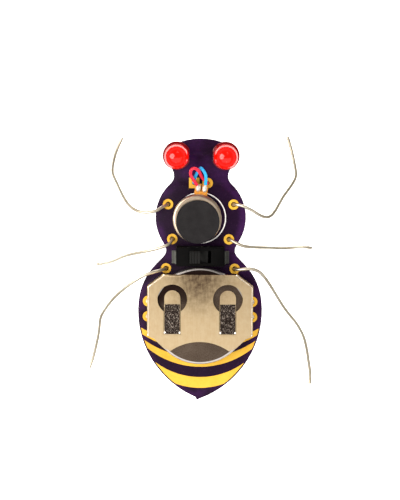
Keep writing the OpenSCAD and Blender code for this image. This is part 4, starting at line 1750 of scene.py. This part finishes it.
@dataclass
class Retainer:
    """The stamped retainer over the coin cell: bent walls, round windows and spring fingers."""

    wardrobe: Wardrobe
    fold: float = 0.4 * MM
    edge: float = 0.05 * MM
    crown: float = 0.14 * MM
    crown_fade: float = 3.0 * MM
    margin: float = 0.48 * MM
    lugs: float = 1.6 * MM
    cuts: int = 22

    def build(self) -> None:
        """Makes the retainer from its CAD shape, with folds rounded and the top slightly crowned.

        The top is inset first, so that the rounded folds meet on straight spokes; the two narrow
        lugs at the tail end stay out of it.
        """
        low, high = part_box("cell_retainer")
        shape = bmesh.new()
        shape.from_mesh(frame["nodes"]["cell_retainer"].data)
        bmesh.ops.remove_doubles(shape, verts=shape.verts, dist=1e-6)
        bmesh.ops.dissolve_limit(
            shape, angle_limit=math.radians(1.0), verts=shape.verts, edges=shape.edges
        )
        top = high.z - 0.01 * MM
        lugs = low.y + self.lugs
        parts = list(shape.verts) + list(shape.edges) + list(shape.faces)
        bmesh.ops.bisect_plane(shape, geom=parts, plane_co=(0, lugs, 0), plane_no=(0, 1, 0), dist=1e-7)
        for side in (1, -1):
            flat = []
            for face in shape.faces:
                spot = face.calc_center_median()
                if side * face.normal.z > 0.9999 and spot.z > top - MM and spot.y > lugs:
                    flat.append(face)
            bmesh.ops.inset_region(shape, faces=flat, thickness=self.margin, use_even_offset=False)
        folds = [e for e in shape.edges if self._is_fold(e, top)]
        bmesh.ops.bevel(
            shape, geom=folds, offset=self.fold, segments=5, affect="EDGES", clamp_overlap=True
        )
        rims = [
            e for e in shape.edges if len(e.link_faces) == 2 and e.calc_face_angle(0) > math.radians(50)
        ]
        bmesh.ops.bevel(shape, geom=rims, offset=self.edge, segments=2, affect="EDGES", clamp_overlap=True)
        for normal in (Vector((1, 0, 0)), Vector((0, 1, 0))):
            for i in range(1, self.cuts):
                spot = low + (high - low) * i / self.cuts
                parts = list(shape.verts) + list(shape.edges) + list(shape.faces)
                bmesh.ops.bisect_plane(shape, geom=parts, plane_co=spot, plane_no=normal, dist=1e-7)
        half = (high - low) / 2
        centre = (high + low) / 2
        for vert in shape.verts:
            across = (vert.co.x - centre.x) / half.x
            along = (vert.co.y - centre.y) / half.y
            rise = min(1.0, max(0.0, 1.0 - (high.z - vert.co.z) / self.crown_fade))
            vert.co.z -= rise * self.crown * (0.35 * across**2 + 0.65 * along**2)
        mesh = close_mesh(shape, "cell_clip", 30)
        clip = as_piece("cell_clip", mesh, self.wardrobe.material("retainer_nickel"))
        clearly(clip, ROBOT, "retainer_nickel", "cell_retainer")

    @staticmethod
    def _is_fold(edge: bmesh.types.BMEdge, top: float) -> bool:
        """Tells whether an edge is where the top turns down into a wall.

        Args:
            edge: The edge.
            top: The height of the top face.

        Returns:
            True for a fold.
        """
        if len(edge.link_faces) != 2 or min(v.co.z for v in edge.verts) < top:
            return False
        drop = max(max(v.co.z for v in f.verts) - min(v.co.z for v in f.verts) for f in edge.link_faces)
        return drop > 1.5 * MM and edge.calc_length() > 1.0 * MM


# ------------------------------------------------------------------ legs and solder


class Leg(Enum):
    """The six legs. Each route lists x, y and the height above the board, in millimetres."""

    FRONT_LEFT = (
        (-6.75, 13.35, -2.4), (-6.75, 13.35, -0.8), (-6.75, 13.35, 0.2), (-7.3, 13.1, 1), (-8, 12.8, 1.5),
        (-9.1, 12.1, 1.9), (-11, 11.7, 1.7), (-13, 11.9, 0.7), (-14.8, 12.9, -1.2), (-16.2, 14.7, -3.4),
        (-17.6, 17.3, -5.9), (-18.5, 19, -7.4), (-18.6, 20.5, -8.4), (-18.1, 23.2, -9.8),
        (-17.2, 25.5, -10.31), (-16.7, 26.6, -10.31),
    )
    FRONT_RIGHT = (
        (6.75, 13.35, -2.4), (6.75, 13.35, -0.8), (6.75, 13.35, 0.2), (7.3, 13.4, 1), (8.6, 13.2, 1.6),
        (10.6, 12.3, 1.7), (12.5, 11.1, 1.3), (14.1, 10.9, 0.6), (15.4, 12.1, -0.6), (17, 14.7, -3.2),
        (18.9, 17, -5.6), (19.9, 18.7, -7.2), (19.9, 20.1, -8.2), (19.3, 23.2, -9.7),
        (18.6, 25.8, -10.31), (18.2, 27, -10.31),
    )
    MIDDLE_LEFT = (
        (-5.85, 6.15, -2.4), (-5.85, 6.15, -0.8), (-5.85, 6.15, 0.2), (-5.9, 6, 0.9), (-6.3, 5.4, 1.5),
        (-7.4, 4.8, 1.8), (-9.8, 4, 1.3), (-13, 3.1, -0.8), (-15.5, 2.3, -3.3), (-18, 0.9, -6.4),
        (-19.7, 0.1, -8.7), (-20.9, -0.2, -10.31), (-22, -0.4, -10.31),
    )
    MIDDLE_RIGHT = (
        (5.85, 6.15, -2.4), (5.85, 6.15, -0.8), (5.85, 6.15, 0.2), (6.2, 6.1, 1), (7.1, 5.7, 1.6),
        (8.7, 5, 1.8), (10.7, 4.7, 1.2), (13.9, 4.4, -0.9), (17.2, 4, -3.9), (19.3, 3.9, -6.2),
        (21.3, 3.8, -8.7), (22.6, 3.6, -10.31), (23.7, 3.4, -10.31),
    )
    REAR_LEFT = (
        (-7.1, 0.05, -2.4), (-7.1, 0.05, -0.8), (-7.1, 0.05, 0.2), (-7.6, -0.1, 1), (-9, -0.4, 1.7),
        (-11.3, -1.1, 1.9), (-13.7, -2.6, 1.2), (-16.1, -4.6, -0.5), (-18.4, -7, -2.6),
        (-20.1, -9.5, -4.6), (-21, -11.3, -5.8), (-21.3, -13.9, -7.2), (-21.8, -16.5, -8.6),
        (-22.6, -19.8, -9.9), (-23.2, -21.6, -10.31), (-23.6, -22.7, -10.31),
    )
    REAR_RIGHT = (
        (7.1, 0.05, -2.4), (7.1, 0.05, -0.8), (7.1, 0.05, 0.2), (7.6, 0, 1), (8.7, 0.1, 1.6),
        (10.1, 0.3, 1.8), (11.5, 0, 1.8), (12.7, -0.8, 1.5), (14.1, -2.7, 0.6), (16, -5.8, -1.1),
        (17.9, -8.9, -2.9), (20, -11.5, -4.7), (21.6, -14.2, -6.2), (22.5, -16.8, -7.5),
        (23.1, -19.9, -8.9), (23.6, -22.9, -10), (23.7, -24.6, -10.31), (23.6, -25.8, -10.31),
    )


@dataclass
class Legs:
    """The six bent wire legs."""

    wardrobe: Wardrobe
    wire_r: float = 0.32 * MM
    sides: int = 20
    easing: int = 6

    def build(self) -> None:
        """Makes each leg, eased at its bends, inside its node's box and so worn flat at the foot."""
        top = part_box("circuit_board")[1].z
        for leg in Leg:
            points = [Vector((x * MM, y * MM, z * MM + top)) for x, y, z in leg.value]
            route = smooth_route(points, 6)
            for spot in route:
                spot.z = max(spot.z, points[-1].z)
            for _ in range(self.easing):
                threes = zip(route, route[1:], route[2:], strict=False)
                route[1:-1] = [(a + 2 * b + c) / 4 for a, b, c in threes]
            node = "leg_" + leg.name.lower()
            wire = self.wardrobe.material("tinned_wire")
            piece = wire_along(node + "_wire", [route], self.wire_r, self.sides, wire)
            low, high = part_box(node)
            for vert in piece.data.vertices:
                vert.co = [min(max(c, a), b) for c, a, b in zip(vert.co, low, high, strict=True)]
            clearly(piece, ROBOT, "tinned_wire", node)


@dataclass
class Solder:
    """The fillets below the board, round each kind of pin."""

    wardrobe: Wardrobe
    sink: float = 0.2 * MM

    def build(self, board: Board) -> None:
        """Makes each group of fillets.

        Args:
            board: The board, for its holes.
        """
        groups = {
            "leg_solder": (board.both_sides(board.leg_holes), 0.9, 0.34, 0.7, 0.0),
            "lead_solder": (list(board.lead_holes), 0.85, 0.35, 0.5, 0.0),
            "led_solder": (board.both_sides(board.led_holes), 0.7, 0.3, 0.6, 0.0),
            "switch_solder": (list(board.switch_holes), 0.75, 0.3, 0.6, 0.0),
            "retainer_solder": (board.both_sides(board.retainer_holes), 0.9, 0.4, 0.6, 0.515),
        }
        for node, (places, foot_r, tip_r, height, fill_r) in groups.items():
            self.fillets(node, places, foot_r * MM, tip_r * MM, height * MM, fill_r * MM)

    def fillets(
        self,
        node: str,
        places: Sequence[tuple[float, float]],
        foot_r: float,
        tip_r: float,
        height: float,
        fill_r: float,
    ) -> None:
        """Makes hollow-sided cones of solder that hang below the board.

        Args:
            node: The CAD node that they replace.
            places: Where the pins are, in millimetres.
            foot_r: The radius at the board.
            tip_r: The radius at the tip.
            height: The height.
            fill_r: The radius of the solder drawn up into the hole, or 0 where there is none.
        """
        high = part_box(node)[1]
        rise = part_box("circuit_board")[1].z - high.z
        steps = 8
        shape = bmesh.new()
        for x, y in places:
            profile = [(0.0, 0.0)]
            if fill_r > 0:
                profile = [
                    (0.0, rise - self.sink), (0.6 * fill_r, rise - 0.85 * self.sink),
                    (fill_r, rise), (fill_r, 0.0),
                ]
            for k in range(steps + 1):
                t = k / steps
                profile.append((tip_r + (foot_r - tip_r) * (1 - t) ** 2, -height * t))
            profile.append((0.0, -height))
            add_lathe(shape, profile, Vector((x * MM, y * MM, high.z)), 32)
        name = node + "_fillets"
        piece = as_piece(name, close_mesh(shape, name, 60), self.wardrobe.material("solder"))
        clearly(piece, ROBOT, "solder", node)


# ------------------------------------------------------------------ whole robot


def dress_frame(wardrobe: Wardrobe) -> None:
    """Gives every carried-over CAD node its slot's material.

    Args:
        wardrobe: The finishes.
    """
    for part in frame["record"]["subparts"]:
        node = frame["nodes"][part["node"]]
        node.data.materials.clear()
        node.data.materials.append(wardrobe.material(part["material_slot"]))


def main() -> None:
    """Builds the studio, then every sub-assembly in order."""
    logging.basicConfig(level=logging.INFO, format="%(message)s")
    Studio().build()
    wardrobe = Wardrobe(finishes())
    dress_frame(wardrobe)
    board = Board(wardrobe)
    board.build()
    Motor(wardrobe).build()
    for node in ("led_lens_left", "led_lens_right"):
        Eye(wardrobe, node).build()
    SlideSwitch(wardrobe).build()
    CoinCell(wardrobe).build()
    Retainer(wardrobe).build()
    Legs(wardrobe).build()
    Solder(wardrobe).build(board)


if __name__ == "__main__":
    main()
